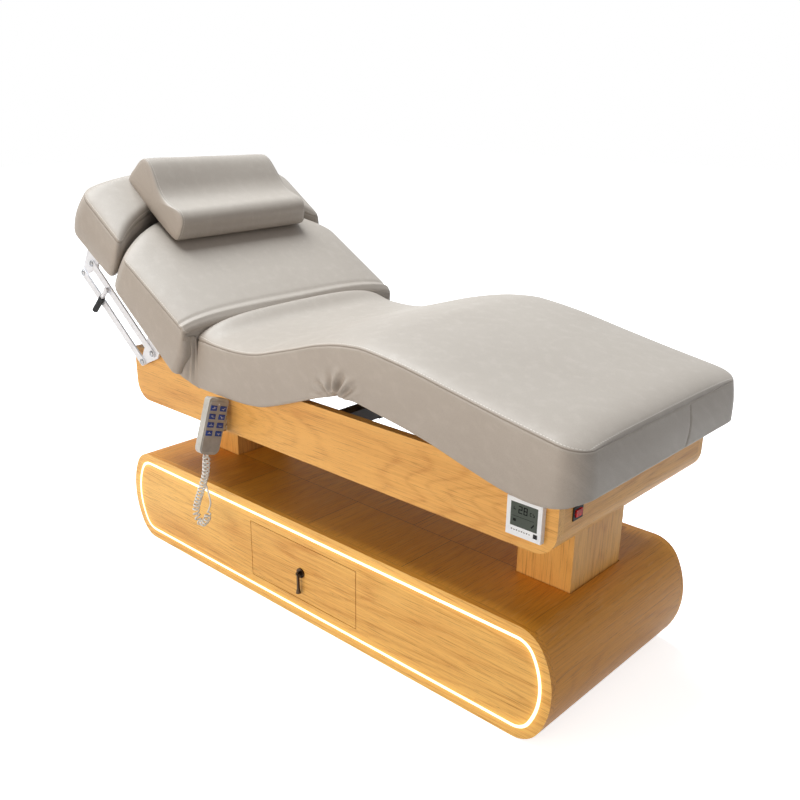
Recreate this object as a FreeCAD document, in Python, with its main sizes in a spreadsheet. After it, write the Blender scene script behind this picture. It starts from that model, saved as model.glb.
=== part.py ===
import FreeCAD, Part
import os
import re
from math import atan2, cos, hypot, pi, radians, sin, sqrt
from types import SimpleNamespace

# Beauty bed: a lift base in oak veneer carries an oak upper frame with a three-part upholstered top, a raised
# headrest on a parallelogram linkage and a loose contour pillow.
# Frame: +X towards the foot, -Y towards the drawer side, +Z up, origin on the floor under the base's centre.

values = {
    # base
    "base_length": 1600, "base_width": 610, "base_height": 290, "base_wall": 25, "panel_wall": 18,
    "end_radius": 210, "corner_radius": 80, "light_inset": 26, "light_width": 8, "light_depth": 6,
    # drawer
    "drawer_width": 415, "drawer_height": 168, "drawer_sill": 60, "drawer_gap": 2, "drawer_depth": 420,
    "drawer_board": 12, "drawer_floor": 8, "drawer_headroom": 20, "runner_thick": 6, "runner_height": 45,
    "runner_level": 110, "rose_radius": 14, "rose_thick": 4, "pull_reach": 11, "pull_length": 58,
    "pull_pin_radius": 2, "pull_eye_radius": 6, "pull_cheek": 3, "pull_drop_radius": 7,
    # upper frame
    "apron_head": 707, "apron_foot": 790, "apron_width": 640, "apron_bottom": 487, "apron_top": 648,
    "rail_wall": 22, "rail_corner": 55,
    "column_head": 577, "column_foot": 634, "sleeve_length": 150, "sleeve_width": 217, "sleeve_wall": 18,
    "sleeve_depth": 110, "sleeve_gap": 3, "lift_length": 100, "lift_width": 140, "lift_wall": 4,
    "lift_gap": 0.4, "lift_depth": 115, "column_plate": 8, "post_side": 60,
    "tube_width": 25, "tube_height": 40, "tube_level": 575, "tube_offset": 250,
    "crossbar_head_gap": 107, "crossbar_middle": 100, "crossbar_foot_gap": 170, "tube_head_gap": 67,
    "tube_foot_gap": 55,
    # boards and cushions
    "board_thick": 18, "board_inset": 46, "back_board_inset": 77, "head_board_inset": 64, "board_rise": 1.5,
    "seat_head": 342, "seat_slope_rise": 38, "seat_slope_run": 66, "seat_board_head": 285,
    "seat_board_foot": 104, "top_half": 362, "back_half": 407, "head_half": 394, "skirt_drop": 42,
    "skirt_wall": 32, "seam_height": 90, "crown": 24, "side_draw": 9, "edge_round": 30,
    "hollow_lip_angle": 112, "hollow_low_angle": 166, "roll_angle": 144, "roll_gap": 0.7, "roll_foot": 38,
    "valley_dip": 8, "plan_round": 55,
    # joints of the top
    "back_pivot_x": 310, "back_pivot_z": 640, "back_angle": 30.5, "thigh_pivot_x": 85, "pivot_z": 640,
    "thigh_length": 343, "thigh_angle": 16, "leg_angle": 8.5, "leg_length": 615,
    "back_head": 700, "back_end": 387, "back_taper": 34, "back_board_end": 400, "arm_notch": 42,
    "back_arch": 182,
    "ear_thick": 8, "ear_radius": 16, "pin_radius": 6, "pin_fit": 0.05, "leaf_gap": 0.3, "lug_radius": 12,
    "arm_depth": 29, "notch_wall": 3, "back_lug": 45, "thigh_lug": 45,
    # headrest linkage
    "link_side": 330, "link_thick": 5, "link_width": 24, "link_bolt": 6, "head_length": 256,
    "head_front": 735, "head_lift": 16, "head_skirt_lift": 39, "link_low_x": 554.4, "link_low_z": 508.5,
    "link_reach": 361, "link_climb": 49, "link_step_x": 29, "link_step_z": 58, "lever_share": 0.70,
    "lever_length": 105, "lever_radius": 5, "lever_slant": 16, "grip_radius": 9, "grip_length": 68,
    "head_bow": 45,
    # pillow
    "pillow_front": 718, "pillow_length": 268, "pillow_half": 242, "pillow_thick": 64, "pillow_lobe": 15,
    "pillow_base": 766.2, "pillow_tilt": 3.5, "pillow_shift": 22,
    # actuators
    "motor_radius": 22, "rod_radius": 10, "rod_fit": 0.35, "motor_offset": 60, "back_motor_length": 300,
    "leg_motor_length": 250, "back_rod_length": 230, "leg_rod_length": 360, "rod_clear": 32,
    "control_length": 180, "control_width": 120, "control_height": 55,
    # handset and its cord
    "handset_width": 66, "handset_length": 156, "handset_thick": 22, "handset_round": 9, "handset_x": 261.5,
    "handset_y": 380, "handset_z": 522.5, "handset_turn": 90, "handset_lean": 18, "face_width": 59,
    "face_length": 140, "face_thick": 2.5, "button_width": 20, "button_height": 14, "button_thick": 5,
    "button_gap": 0.4, "button_pitch_x": 32, "button_pitch_z": 23, "button_top": 27, "button_travel": 1.5,
    "button_proud": 2, "hook_width": 30, "hook_height": 64, "hook_plate": 3, "hook_post": 6, "hook_sink": 4,
    "cord_radius": 2.4, "coil_radius": 8.4, "coil_turns": 24, "cord_gland_radius": 7, "cord_gland_height": 12,
    "cord_gland_x": 390, "bend_share": 0.45,
    # thermostat and switch
    "thermostat_side": 86, "thermostat_depth": 13, "thermostat_foot": 30, "thermostat_low": 30,
    "screen_width": 66, "screen_height": 54, "screen_depth": 1, "screen_top": 10, "key_side": 9,
    "key_depth": 3, "key_gap": 0.4, "key_inset": 9, "key_travel": 1, "switch_width": 36, "switch_height": 30,
    "switch_flange": 2.5, "switch_flange_edge": 3, "switch_y": 250, "switch_z": 573, "switch_rim": 3,
    "rocker_gap": 1.6, "rocker_proud": 3, "rocker_thick": 8, "trunnion_radius": 1.5,
    "cut_over": 10,
}

doc = FreeCAD.newDocument("beauty_bed")
sheet = doc.addObject("Spreadsheet::Sheet", "sizes")
for row, (name, value) in enumerate(values.items(), 1):
    sheet.set(f"A{row}", name)
    sheet.set(f"B{row}", str(value))
    sheet.setAlias(f"B{row}", name)
doc.recompute()
s = SimpleNamespace(**{name: float(sheet.get(name)) for name in values})

nodes = {}


# Small makers

def bound(text):
    return re.sub(r"[a-z][a-z_]+", lambda word: "sizes." + word.group(0), text)


def vector(x, y, z):
    return FreeCAD.Vector(x, y, z)


def shift(x, y, z):
    return FreeCAD.Placement(vector(x, y, z), FreeCAD.Rotation())


def turn_about(x, z, angle):
    return FreeCAD.Placement(vector(0, 0, 0), FreeCAD.Rotation(vector(0, 1, 0), angle), vector(x, 0, z))


def keep(label, piece):
    piece.Label = label
    nodes[label] = piece
    return piece


def box(name, low, spans, turn=None):
    piece = doc.addObject("Part::Box", name)
    for side, span in zip(("Length", "Width", "Height"), spans):
        piece.setExpression(side, bound(span))
    piece.Placement = turn.multiply(shift(*low)) if turn else shift(*low)
    return piece


def rod(name, start, direction, radius, length, turn=None):
    piece = doc.addObject("Part::Cylinder", name)
    piece.setExpression("Radius", bound(radius))
    piece.setExpression("Height", bound(length))
    place = FreeCAD.Placement(vector(*start), FreeCAD.Rotation(vector(0, 0, 1), vector(*direction)))
    piece.Placement = turn.multiply(place) if turn else place
    return piece


def cut(name, base, tool):
    piece = doc.addObject("Part::Cut", name)
    piece.Base = base
    piece.Tool = tool
    return piece


def common(name, first, second):
    piece = doc.addObject("Part::Common", name)
    piece.Base = first
    piece.Tool = second
    return piece


def fuse(name, pieces):
    piece = doc.addObject("Part::MultiFuse", name)
    piece.Shapes = pieces
    return piece


def group(name, pieces):
    piece = doc.addObject("Part::Compound", name)
    piece.Links = pieces
    return piece


def pad(name, plane, outline, start, length, turn=None):
    """One sketch, padded along its plane's normal: XZ pads run towards -Y, YZ towards +X, XY towards +Z."""
    body = doc.addObject("PartDesign::Body", name + "_body")
    sketch = body.newObject("Sketcher::SketchObject", name + "_sketch")
    support = next(each for each in body.Origin.OriginFeatures if each.Role == plane)
    sketch.AttachmentSupport = [(support, "")]
    sketch.MapMode = "FlatFace"
    sketch.AttachmentOffset = shift(0, 0, -start if plane == "XZ_Plane" else start)
    sketch.addGeometry(outline, False)
    feature = body.newObject("PartDesign::Pad", name + "_pad")
    feature.Profile = sketch
    feature.setExpression("Length", bound(length))
    if turn:
        body.Placement = turn
    return body


def polygon(points):
    """A closed outline. A point written with a third entry is the end of an arc through that middle point."""
    edges = []
    for here, there in zip(points, points[1:] + points[:1]):
        first = vector(here[0], here[1], 0)
        last = vector(there[0], there[1], 0)
        if len(there) == 3:
            edges.append(Part.Arc(first, vector(*there[2], 0), last))
        else:
            edges.append(Part.LineSegment(first, last))
    return edges


def arc_middle(centre, radius, start, end):
    angle = radians((start + end) / 2)
    return (centre[0] + radius * cos(angle), centre[1] + radius * sin(angle))


def polar(centre, radius, angle):
    return (centre[0] + radius * cos(radians(angle)), centre[1] + radius * sin(radians(angle)))


def rounded(x0, x1, z0, z1, low_round, high_round):
    """A rectangle whose low and high corners have their own radii; a zero radius leaves the corner square."""
    corners = []
    for x, z, sx, sz, first, radius in ((x1, z0, -1, 1, 270, low_round), (x1, z1, -1, -1, 0, high_round),
                                        (x0, z1, 1, -1, 90, high_round), (x0, z0, 1, 1, 180, low_round)):
        centre = (x + sx * radius, z + sz * radius)
        if radius:
            corners.append(polar(centre, radius, first))
            end = polar(centre, radius, first + 90)
            corners.append((end[0], end[1], arc_middle(centre, radius, first, first + 90)))
        else:
            corners.append((x, z))
    return polygon(corners)


def base_profile(inset):
    """The base's side outline: flat top and bottom, three tangent arcs at each end, drawn in by inset."""
    half = s.base_length / 2 - inset
    big = s.end_radius - inset
    small = s.corner_radius - inset
    middle = s.base_height / 2
    big_x = half - big
    small_dz = middle - inset - small
    small_x = big_x + sqrt((big - small) ** 2 - small_dz ** 2)
    meet = atan2(small_dz, small_x - big_x) * 180 / pi
    points = []
    for side in (1, -1):
        big_centre = (side * big_x, middle)
        low = (side * small_x, middle - side * small_dz)
        high = (side * small_x, middle + side * small_dz)
        aim = 0 if side == 1 else 180
        points.append(polar(low, small, aim - 90))
        for centre, radius, first, last in ((low, small, aim - 90, aim - meet),
                                            (big_centre, big, aim - meet, aim + meet),
                                            (high, small, aim + meet, aim + 90)):
            end = polar(centre, radius, last)
            points.append((end[0], end[1], arc_middle(centre, radius, first, last)))
    return polygon(points)


# Base: wrapped shell with two column openings, front and rear panels, light strip, drawer cheeks and runners

panel_y = s.base_width / 2 - s.panel_wall
shell_outer = pad("shell_outer", "XZ_Plane", base_profile(0), panel_y, "base_width - 2 * panel_wall")
shell_inner = pad("shell_inner", "XZ_Plane", base_profile(s.base_wall), panel_y + s.cut_over,
                  "base_width - 2 * panel_wall + 2 * cut_over")
column_places = (-s.column_head, s.column_foot)
sleeve_slots = []
for number, place in enumerate(column_places):
    low = (place - s.sleeve_length / 2 - s.sleeve_gap, -s.sleeve_width / 2 - s.sleeve_gap,
           s.base_height - s.base_wall - s.cut_over)
    sleeve_slots.append(box(f"sleeve_slot_{number}", low, ("sleeve_length + 2 * sleeve_gap",
                                                           "sleeve_width + 2 * sleeve_gap",
                                                           "base_wall + 2 * cut_over")))
keep("base_shell", cut("base_shell", cut("shell_ring", shell_outer, shell_inner), group("sleeve_slots",
                                                                                        sleeve_slots)))

front_blank = pad("front_blank", "XZ_Plane", base_profile(0), -panel_y, "panel_wall")
opening = box("drawer_opening", (-s.drawer_width / 2 - s.drawer_gap, -s.base_width / 2 - s.cut_over,
                                 s.drawer_sill - s.drawer_gap),
              ("drawer_width + 2 * drawer_gap", "panel_wall + 2 * cut_over",
               "drawer_height + 2 * drawer_gap"))


def light_ring(name, front, depth):
    wide = pad(name + "_wide", "XZ_Plane", base_profile(s.light_inset), front, depth)
    narrow = pad(name + "_narrow", "XZ_Plane", base_profile(s.light_inset + s.light_width), front, depth)
    return cut(name, wide, narrow)


light_back = -s.base_width / 2 + s.light_depth
keep("light_strip", light_ring("light_strip", light_back, "light_depth"))
front_open = cut("front_open", front_blank, opening)
keep("base_front_panel", cut("base_front_panel", front_open, light_ring("light_groove", light_back,
                                                                        "light_depth")))
keep("base_rear_panel", pad("base_rear_panel", "XZ_Plane", base_profile(0), s.base_width / 2, "panel_wall"))

cheek_in = s.drawer_width / 2 + s.drawer_gap
cheeks = []
runners_fixed = []
runners_moving = []
for side, low, fixed, moving in ((-1, -cheek_in - s.panel_wall, -cheek_in,
                                  -cheek_in + s.runner_thick + s.leaf_gap),
                                 (1, cheek_in, cheek_in - s.runner_thick,
                                  cheek_in - 2 * s.runner_thick - s.leaf_gap)):
    cheeks.append(box(f"cheek_{side + 1}", (low, -panel_y, s.base_wall),
                      ("panel_wall", "drawer_depth", "base_height - 2 * base_wall")))
    runners_fixed.append(box(f"runner_fixed_{side + 1}", (fixed, -panel_y, s.runner_level),
                             ("runner_thick", "drawer_depth", "runner_height")))
    runners_moving.append(box(f"runner_moving_{side + 1}", (moving, -panel_y, s.runner_level),
                              ("runner_thick", "drawer_depth - cut_over", "runner_height")))
keep("drawer_cheeks", group("drawer_cheeks", cheeks))
keep("drawer_runners_fixed", group("drawer_runners_fixed", runners_fixed))
keep("drawer_runners_moving", group("drawer_runners_moving", runners_moving))

# Drawer: front, open box, pull rose with a cross pin, and the drop that swings on it

keep("drawer_front", box("drawer_front", (-s.drawer_width / 2, -s.base_width / 2, s.drawer_sill),
                         ("drawer_width", "panel_wall", "drawer_height")))
tray_half = cheek_in - 2 * s.runner_thick - s.leaf_gap
tray = box("tray", (-tray_half, -panel_y, s.drawer_sill + s.drawer_floor),
           ("drawer_width + 2 * drawer_gap - 4 * runner_thick - 2 * leaf_gap", "drawer_depth - cut_over",
            "drawer_height - drawer_floor - drawer_headroom"))
tray_hollow = box("tray_hollow", (-tray_half + s.drawer_board, -panel_y + s.drawer_board,
                                  s.drawer_sill + 2 * s.drawer_floor),
                  ("drawer_width + 2 * drawer_gap - 4 * runner_thick - 2 * leaf_gap - 2 * drawer_board",
                   "drawer_depth - cut_over - 2 * drawer_board", "drawer_height"))
keep("drawer_box", cut("drawer_box", tray, tray_hollow))

pull_z = s.drawer_sill + s.drawer_height / 2
front_y = -s.base_width / 2
pin_y = front_y - s.pull_reach
rose_plate = rod("rose_plate", (0, front_y, pull_z), (0, -1, 0), "rose_radius", "rose_thick")
eye_half = s.pull_eye_radius / 2
rose_ears = []
for side in (-1, 1):
    ear_x = side * (eye_half + s.leaf_gap) - (s.pull_cheek if side < 0 else 0)
    rose_ears.append(box(f"rose_ear_{side + 1}", (ear_x, pin_y - s.pull_cheek, pull_z - s.pull_cheek),
                         ("pull_cheek", "pull_reach + pull_cheek - rose_thick / 2", "2 * pull_cheek")))
rose_pin = rod("rose_pin", (-eye_half - s.leaf_gap - s.pull_cheek, pin_y, pull_z), (1, 0, 0),
               "pull_pin_radius",
               "pull_eye_radius + 2 * leaf_gap + 2 * pull_cheek")
keep("pull_rose", fuse("pull_rose", [rose_plate, rose_pin] + rose_ears))
drop_eye = rod("drop_eye", (-eye_half, pin_y, pull_z), (1, 0, 0), "pull_eye_radius", "pull_eye_radius")
drop_bore = rod("drop_bore", (-s.pull_eye_radius, pin_y, pull_z), (1, 0, 0), "pull_pin_radius + pin_fit",
                "2 * pull_eye_radius")
drop_stem = box("drop_stem", (-s.pull_cheek, pin_y - s.pull_cheek,
                              pull_z - s.pull_length + s.pull_drop_radius),
                ("2 * pull_cheek", "2 * pull_cheek",
                 "pull_length - pull_drop_radius - pull_eye_radius / 2 - pull_pin_radius"))
drop_bell = doc.addObject("Part::Cone", "drop_bell")
drop_bell.setExpression("Radius1", bound("pull_drop_radius"))
drop_bell.setExpression("Radius2", bound("pull_cheek"))
drop_bell.setExpression("Height", bound("3 * pull_drop_radius"))
drop_bell.Placement = shift(0, pin_y, pull_z - s.pull_length)
keep("pull_drop", cut("pull_drop", fuse("drop_blank", [drop_eye, drop_stem, drop_bell]), drop_bore))

# Lift columns: outer tubes in the base, inner tubes and oak sleeves on the upper frame


def square_tube(name, place, low_z, length, width, wall, height):
    size_x = values[length]
    size_y = values[width]
    outer = box(name + "_outer", (place - size_x / 2, -size_y / 2, low_z), (length, width, height))
    inner = box(name + "_inner", (place - size_x / 2 + values[wall], -size_y / 2 + values[wall],
                                  low_z - s.cut_over),
                (f"{length} - 2 * {wall}", f"{width} - 2 * {wall}", f"{height} + 2 * cut_over"))
    return cut(name, outer, inner)


keep("lift_columns_outer", group("lift_columns_outer", [
    square_tube(f"lift_outer_{number}", place, s.base_wall, "lift_length", "lift_width", "lift_wall",
                "base_height - base_wall - column_plate")
    for number, place in enumerate(column_places)]))
plate_z = s.apron_bottom + s.column_plate
lift_inner = []
for number, place in enumerate(column_places):
    inner_x = s.lift_length / 2 - s.lift_wall - s.lift_gap
    inner_y = s.lift_width / 2 - s.lift_wall - s.lift_gap
    low_z = s.base_height - s.lift_depth
    outer = box(f"lift_inner_blank_{number}", (place - inner_x, -inner_y, low_z),
                ("lift_length - 2 * lift_wall - 2 * lift_gap", "lift_width - 2 * lift_wall - 2 * lift_gap",
                 "apron_bottom + column_plate - base_height + lift_depth"))
    hollow = box(f"lift_inner_hollow_{number}", (place - inner_x + s.lift_wall, -inner_y + s.lift_wall,
                                                 low_z - s.cut_over),
                 ("lift_length - 4 * lift_wall - 2 * lift_gap", "lift_width - 4 * lift_wall - 2 * lift_gap",
                  "apron_bottom + column_plate - base_height + lift_depth + 2 * cut_over"))
    lift_inner.append(cut(f"lift_inner_{number}", outer, hollow))
keep("lift_columns_inner", group("lift_columns_inner", lift_inner))
keep("column_sleeves", group("column_sleeves", [
    square_tube(f"sleeve_{number}", place, s.base_height - s.sleeve_depth, "sleeve_length", "sleeve_width",
                "sleeve_wall", "apron_bottom + column_plate - base_height + sleeve_depth")
    for number, place in enumerate(column_places)]))

# Upper frame: side rails with round lower corners, curled end rails, tube subframe with ears and lugs

rail_y = s.apron_width / 2
rail_in = rail_y - s.rail_wall
rail_outline = rounded(-s.apron_head, s.apron_foot, s.apron_bottom, s.apron_top, s.rail_corner, 0)
keep("side_rails", group("side_rails", [
    pad("front_rail", "XZ_Plane", rail_outline, -rail_in, "rail_wall"),
    pad("rear_rail", "XZ_Plane", rail_outline, rail_y, "rail_wall")]))


def end_rail(name, face, side):
    centre = (face - side * s.rail_corner, s.apron_bottom + s.rail_corner)
    inner = s.rail_corner - s.rail_wall
    middle = 315 if side > 0 else 225
    outline = polygon([
        (face, s.apron_top), (face, centre[1]),
        (centre[0], s.apron_bottom, polar(centre, s.rail_corner, middle)),
        (centre[0], s.apron_bottom + s.rail_wall),
        (face - side * s.rail_wall, centre[1], polar(centre, inner, middle)),
        (face - side * s.rail_wall, s.apron_top)])
    return pad(name, "XZ_Plane", outline, rail_in, "apron_width - 2 * rail_wall")


foot_rail = end_rail("foot_rail", s.apron_foot, 1)
switch_right = -s.switch_y - s.switch_width / 2 + s.switch_flange_edge
switch_low = s.switch_z - s.switch_height / 2 + s.switch_flange_edge
switch_hole = box("switch_hole", (s.apron_foot - s.rail_wall - s.cut_over, switch_right, switch_low),
                  ("rail_wall + 2 * cut_over", "switch_width - 2 * switch_flange_edge",
                   "switch_height - 2 * switch_flange_edge"))
keep("end_rails", group("end_rails", [cut("foot_rail_open", foot_rail, switch_hole),
                                      end_rail("head_rail", -s.apron_head, -1)]))

tube_head = s.apron_head - s.tube_head_gap
crossbar_head = s.apron_head - s.crossbar_head_gap
crossbar_foot = s.apron_foot - s.crossbar_foot_gap
tube_out = s.tube_offset + s.tube_width
frame_pieces = []
for side in (-1, 1):
    low_y = s.tube_offset if side > 0 else -tube_out
    frame_pieces.append(box(f"frame_tube_{side + 1}", (-tube_head, low_y, s.tube_level),
                            ("apron_head - tube_head_gap + apron_foot - tube_foot_gap", "tube_width",
                             "tube_height")))
for number, place in enumerate((-crossbar_head, s.crossbar_middle, crossbar_foot)):
    frame_pieces.append(box(f"crossbar_{number}", (place - s.tube_height / 2, -rail_in, s.tube_level),
                            ("tube_height", "apron_width - 2 * rail_wall", "tube_height")))
for number, place in enumerate(column_places):
    frame_pieces.append(box(f"column_plate_{number}", (place - s.sleeve_length / 2, -s.sleeve_width / 2,
                                                       plate_z),
                            ("sleeve_length", "sleeve_width", "column_plate")))
    frame_pieces.append(box(f"column_post_{number}", (place - s.post_side / 2, -s.post_side / 2, plate_z),
                            ("post_side", "post_side",
                             "tube_level + tube_height - apron_bottom - column_plate")))
for side in (-1, 1):
    face = tube_out if side > 0 else -tube_out - s.ear_thick
    for name, x, z in (("back_ear", -s.back_pivot_x, s.back_pivot_z), ("thigh_ear", -s.thigh_pivot_x,
                                                                       s.pivot_z)):
        radius = s.lug_radius
        outline = polygon([(x - radius, s.tube_level), (x + radius, s.tube_level), (x + radius, z),
                           (x - radius, z, (x, z + radius))])
        frame_pieces.append(pad(f"{name}_{side + 1}", "XZ_Plane", outline, face + s.ear_thick, "ear_thick"))
keep("subframe", fuse("subframe", frame_pieces))
pins = []
pin_length = "2 * ear_thick + leaf_gap + 2 * notch_wall"
for side in (-1, 1):
    start = tube_out - s.notch_wall if side > 0 else -tube_out - 2 * s.ear_thick - s.leaf_gap - s.notch_wall
    for name, x, z in (("back_pin", -s.back_pivot_x, s.back_pivot_z), ("thigh_pin", -s.thigh_pivot_x,
                                                                       s.pivot_z)):
        pins.append(rod(f"{name}_{side + 1}", (x, start, z), (0, 1, 0), "pin_radius", pin_length))
keep("hinge_pins", group("hinge_pins", pins))
control_case = box("control_case", (s.crossbar_middle - s.control_length / 2, s.motor_offset + s.motor_radius,
                                    s.tube_level - s.control_height),
                   ("control_length", "control_width", "control_height"))

# Upholstered top: each cushion is its side outline crossed with a crowned section, over a board in a recess

board_low = s.apron_top
board_top = board_low + s.board_thick
skirt_z = board_low - s.skirt_drop
seam_z = board_low + s.seam_height
top_z = seam_z + s.crown
back_turn = turn_about(-s.back_pivot_x, s.back_pivot_z, s.back_angle)
thigh_turn = turn_about(-s.thigh_pivot_x, s.pivot_z, -s.thigh_angle)
knee_x = -s.thigh_pivot_x + s.thigh_length
leg_turn = thigh_turn.multiply(turn_about(knee_x, s.pivot_z, s.thigh_angle + s.leg_angle))


def section(half, low, rise):
    """A cushion's cross section: sides drawn in to the seam, then a crown from seam to seam."""
    seam = seam_z + rise
    middle = (low + seam) / 2
    draw = half - s.side_draw
    return polygon([(-draw, low), (draw, low), (draw, seam, (half, middle)),
                    (-draw, seam, (0, seam + s.crown))])


def cushion(label, side_outline, x0, x1, half, low, rise, recess_half, recess_x, recess_z, turn, plan=None,
            recess_plan=None):
    side = pad(label + "_side", "XZ_Plane", side_outline, half, f"2 * {half_names[half]}", turn)
    length = f"{x1 - x0}"
    cross = pad(label + "_cross", "YZ_Plane", section(half, low, rise), x0, length, turn)
    blank = common(label + "_blank", side, cross)
    if plan:
        around = pad(label + "_plan", "XY_Plane", plan, low - s.cut_over,
                     f"{seam_z + rise + s.crown - low} + 2 * cut_over",
                     turn)
        blank = common(label + "_round", blank, around)
    recess_height = f"{recess_z - low} + cut_over"
    if recess_plan:
        recess = pad(label + "_recess", "XY_Plane", recess_plan, low - s.cut_over, recess_height, turn)
    else:
        recess = box(label + "_recess", (recess_x[0], -recess_half, low - s.cut_over),
                     (f"{recess_x[1] - recess_x[0]}", f"2 * {recess_half}", recess_height), turn)
    return cut(label, blank, recess)


half_names = {s.top_half: "top_half", s.back_half: "back_half", s.head_half: "head_half"}
board_half = s.top_half - s.board_inset
back_board_half = s.back_half - s.back_board_inset
head_board_half = s.head_half - s.head_board_inset
hinge = (-s.thigh_pivot_x, s.pivot_z)
knee = (knee_x, s.pivot_z)
roll = top_z - s.pivot_z
valley = roll - s.valley_dip
recess_half = s.top_half - s.skirt_wall - s.leaf_gap
recess_top = board_top + s.board_rise

# The seat's foot end is a hollow round the thigh hinge, from its top lip down to the board.
lip_angle = s.hollow_lip_angle
low_angle = s.hollow_low_angle
riser = polar(hinge, valley + s.roll_gap, lip_angle)
hollow_end = polar(hinge, valley + s.roll_gap, low_angle)
seat_outline = polygon([
    (-s.seat_head, skirt_z), (hinge[0] - s.ear_radius, skirt_z), (hinge[0] - s.ear_radius,
                                                                  hinge[1]), hollow_end,
    (riser[0], riser[1], arc_middle(hinge, valley + s.roll_gap, low_angle, lip_angle)),
    (riser[0] - s.valley_dip, top_z), (-s.seat_head + s.seat_slope_run, top_z),
    (-s.seat_head, board_top + s.seat_slope_rise)])
arm_notches = []
for side in (-1, 1):
    outer_face = tube_out + 2 * s.ear_thick + 2 * s.notch_wall
    low_y = tube_out + s.ear_thick - s.notch_wall if side > 0 else -outer_face
    arm_notches.append(box(f"arm_notch_{side + 1}", (-s.seat_head - s.cut_over, low_y, skirt_z),
                           ("arm_notch + cut_over", "ear_thick + 3 * notch_wall",
                            "skirt_drop + board_thick + arm_notch"), None))
seat_blank = cushion("seat_blank", seat_outline, -s.seat_head, hinge[0], s.top_half, skirt_z, 0, recess_half,
                     (-s.seat_head - s.cut_over, hinge[0] + s.cut_over), board_top, None)
keep("seat_cushion", cut("seat_cushion", seat_blank, group("arm_notches", arm_notches)))
keep("seat_board", box("seat_board", (-s.seat_board_head, -board_half, board_low),
                       ("seat_board_head - seat_board_foot", "2 * (top_half - board_inset)", "board_thick")))

# The thigh cushion rolls in that hollow, and its knee end is a roll round the knee hinge.
roll_angle = s.roll_angle
thigh_start = polar(hinge, valley, roll_angle)
thigh_top = polar(hinge, valley, 90)
knee_low = -atan2(s.pivot_z - skirt_z, sqrt(roll ** 2 - (s.pivot_z - skirt_z) ** 2)) * 180 / pi
thigh_outline = polygon([
    (hinge[0] + s.lug_radius, skirt_z), polar(knee, roll, knee_low),
    (knee[0], knee[1] + roll, arc_middle(knee, roll, knee_low, 90)),
    (hinge[0], hinge[1] + roll), thigh_top,
    (thigh_start[0], thigh_start[1], arc_middle(hinge, valley, 90, roll_angle)),
    (hinge[0] + s.lug_radius, hinge[1] + s.roll_foot)])
keep("thigh_cushion", cushion("thigh_cushion", thigh_outline, hinge[0] - roll, knee[0] + roll, s.top_half,
                              skirt_z, 0,
                              recess_half, (hinge[0] - roll - s.cut_over,
                                            knee[0] + roll + s.cut_over), recess_top,
                              thigh_turn))
leg_foot = knee_x + s.leg_length
leg_low = polar(knee, roll + s.roll_gap, knee_low)
leg_outline = polygon([
    (leg_foot, skirt_z), (leg_foot, top_z + s.cut_over), (knee[0], top_z + s.cut_over),
    (knee[0], knee[1] + roll + s.roll_gap),
    (leg_low[0], leg_low[1], arc_middle(knee, roll + s.roll_gap, knee_low, 90))])
leg_plan = polygon([
    (knee[0], -s.top_half), (leg_foot - s.plan_round, -s.top_half),
    (leg_foot, -s.top_half + s.plan_round,
     arc_middle((leg_foot - s.plan_round, -s.top_half + s.plan_round), s.plan_round, 270, 360)),
    (leg_foot, s.top_half - s.plan_round),
    (leg_foot - s.plan_round, s.top_half,
     arc_middle((leg_foot - s.plan_round, s.top_half - s.plan_round), s.plan_round, 0, 90)),
    (knee[0], s.top_half)])
foot_recess = leg_foot - s.skirt_wall
keep("leg_cushion", cushion("leg_cushion", leg_outline, knee[0], leg_foot, s.top_half, skirt_z, 0,
                            recess_half,
                            (knee[0] - s.cut_over, foot_recess), recess_top, leg_turn, leg_plan))
thigh_board_head = s.seat_board_foot - s.thigh_pivot_x
keep("thigh_board", box("thigh_board", (hinge[0] + thigh_board_head, -board_half, board_low + s.board_rise),
                        ("thigh_length - 2 * (seat_board_foot - thigh_pivot_x)",
                         "2 * (top_half - board_inset)", "board_thick"),
                        thigh_turn))
keep("leg_board", box("leg_board", (knee[0] + thigh_board_head, -board_half, board_low + s.board_rise),
                      ("leg_length - 2 * skirt_wall - cut_over - (seat_board_foot - thigh_pivot_x)",
                       "2 * (top_half - board_inset)",
                       "board_thick"), leg_turn))


# Hinge leaves under the boards, outside the ears; the thigh's also carry the knee pins and the drive lug

def leaf(name, pivot, reach, low_y, turn, bored):
    """A plate from a hinge to the underside of its board; reach is the signed length along the board."""
    x, z = pivot
    under = board_low + s.board_rise
    way = 1 if reach > 0 else -1
    outline = polygon([
        (x + reach, under - s.lug_radius), (x + reach, under), (x + way * s.lug_radius, under),
        (x + way * s.lug_radius, z), (x - way * s.lug_radius, z, (x, z + s.lug_radius)),
        (x, z - s.lug_radius, polar(pivot, s.lug_radius, 225 if way > 0 else 315))])
    plate = pad(name, "XZ_Plane", outline, low_y + s.ear_thick, "ear_thick", turn)
    if not bored:
        return plate
    hole = rod(name + "_bore", (x, low_y - s.cut_over, z), (0, 1, 0), "pin_radius + pin_fit",
               "ear_thick + 2 * cut_over", turn)
    return cut(name + "_bored", plate, hole)


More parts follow.
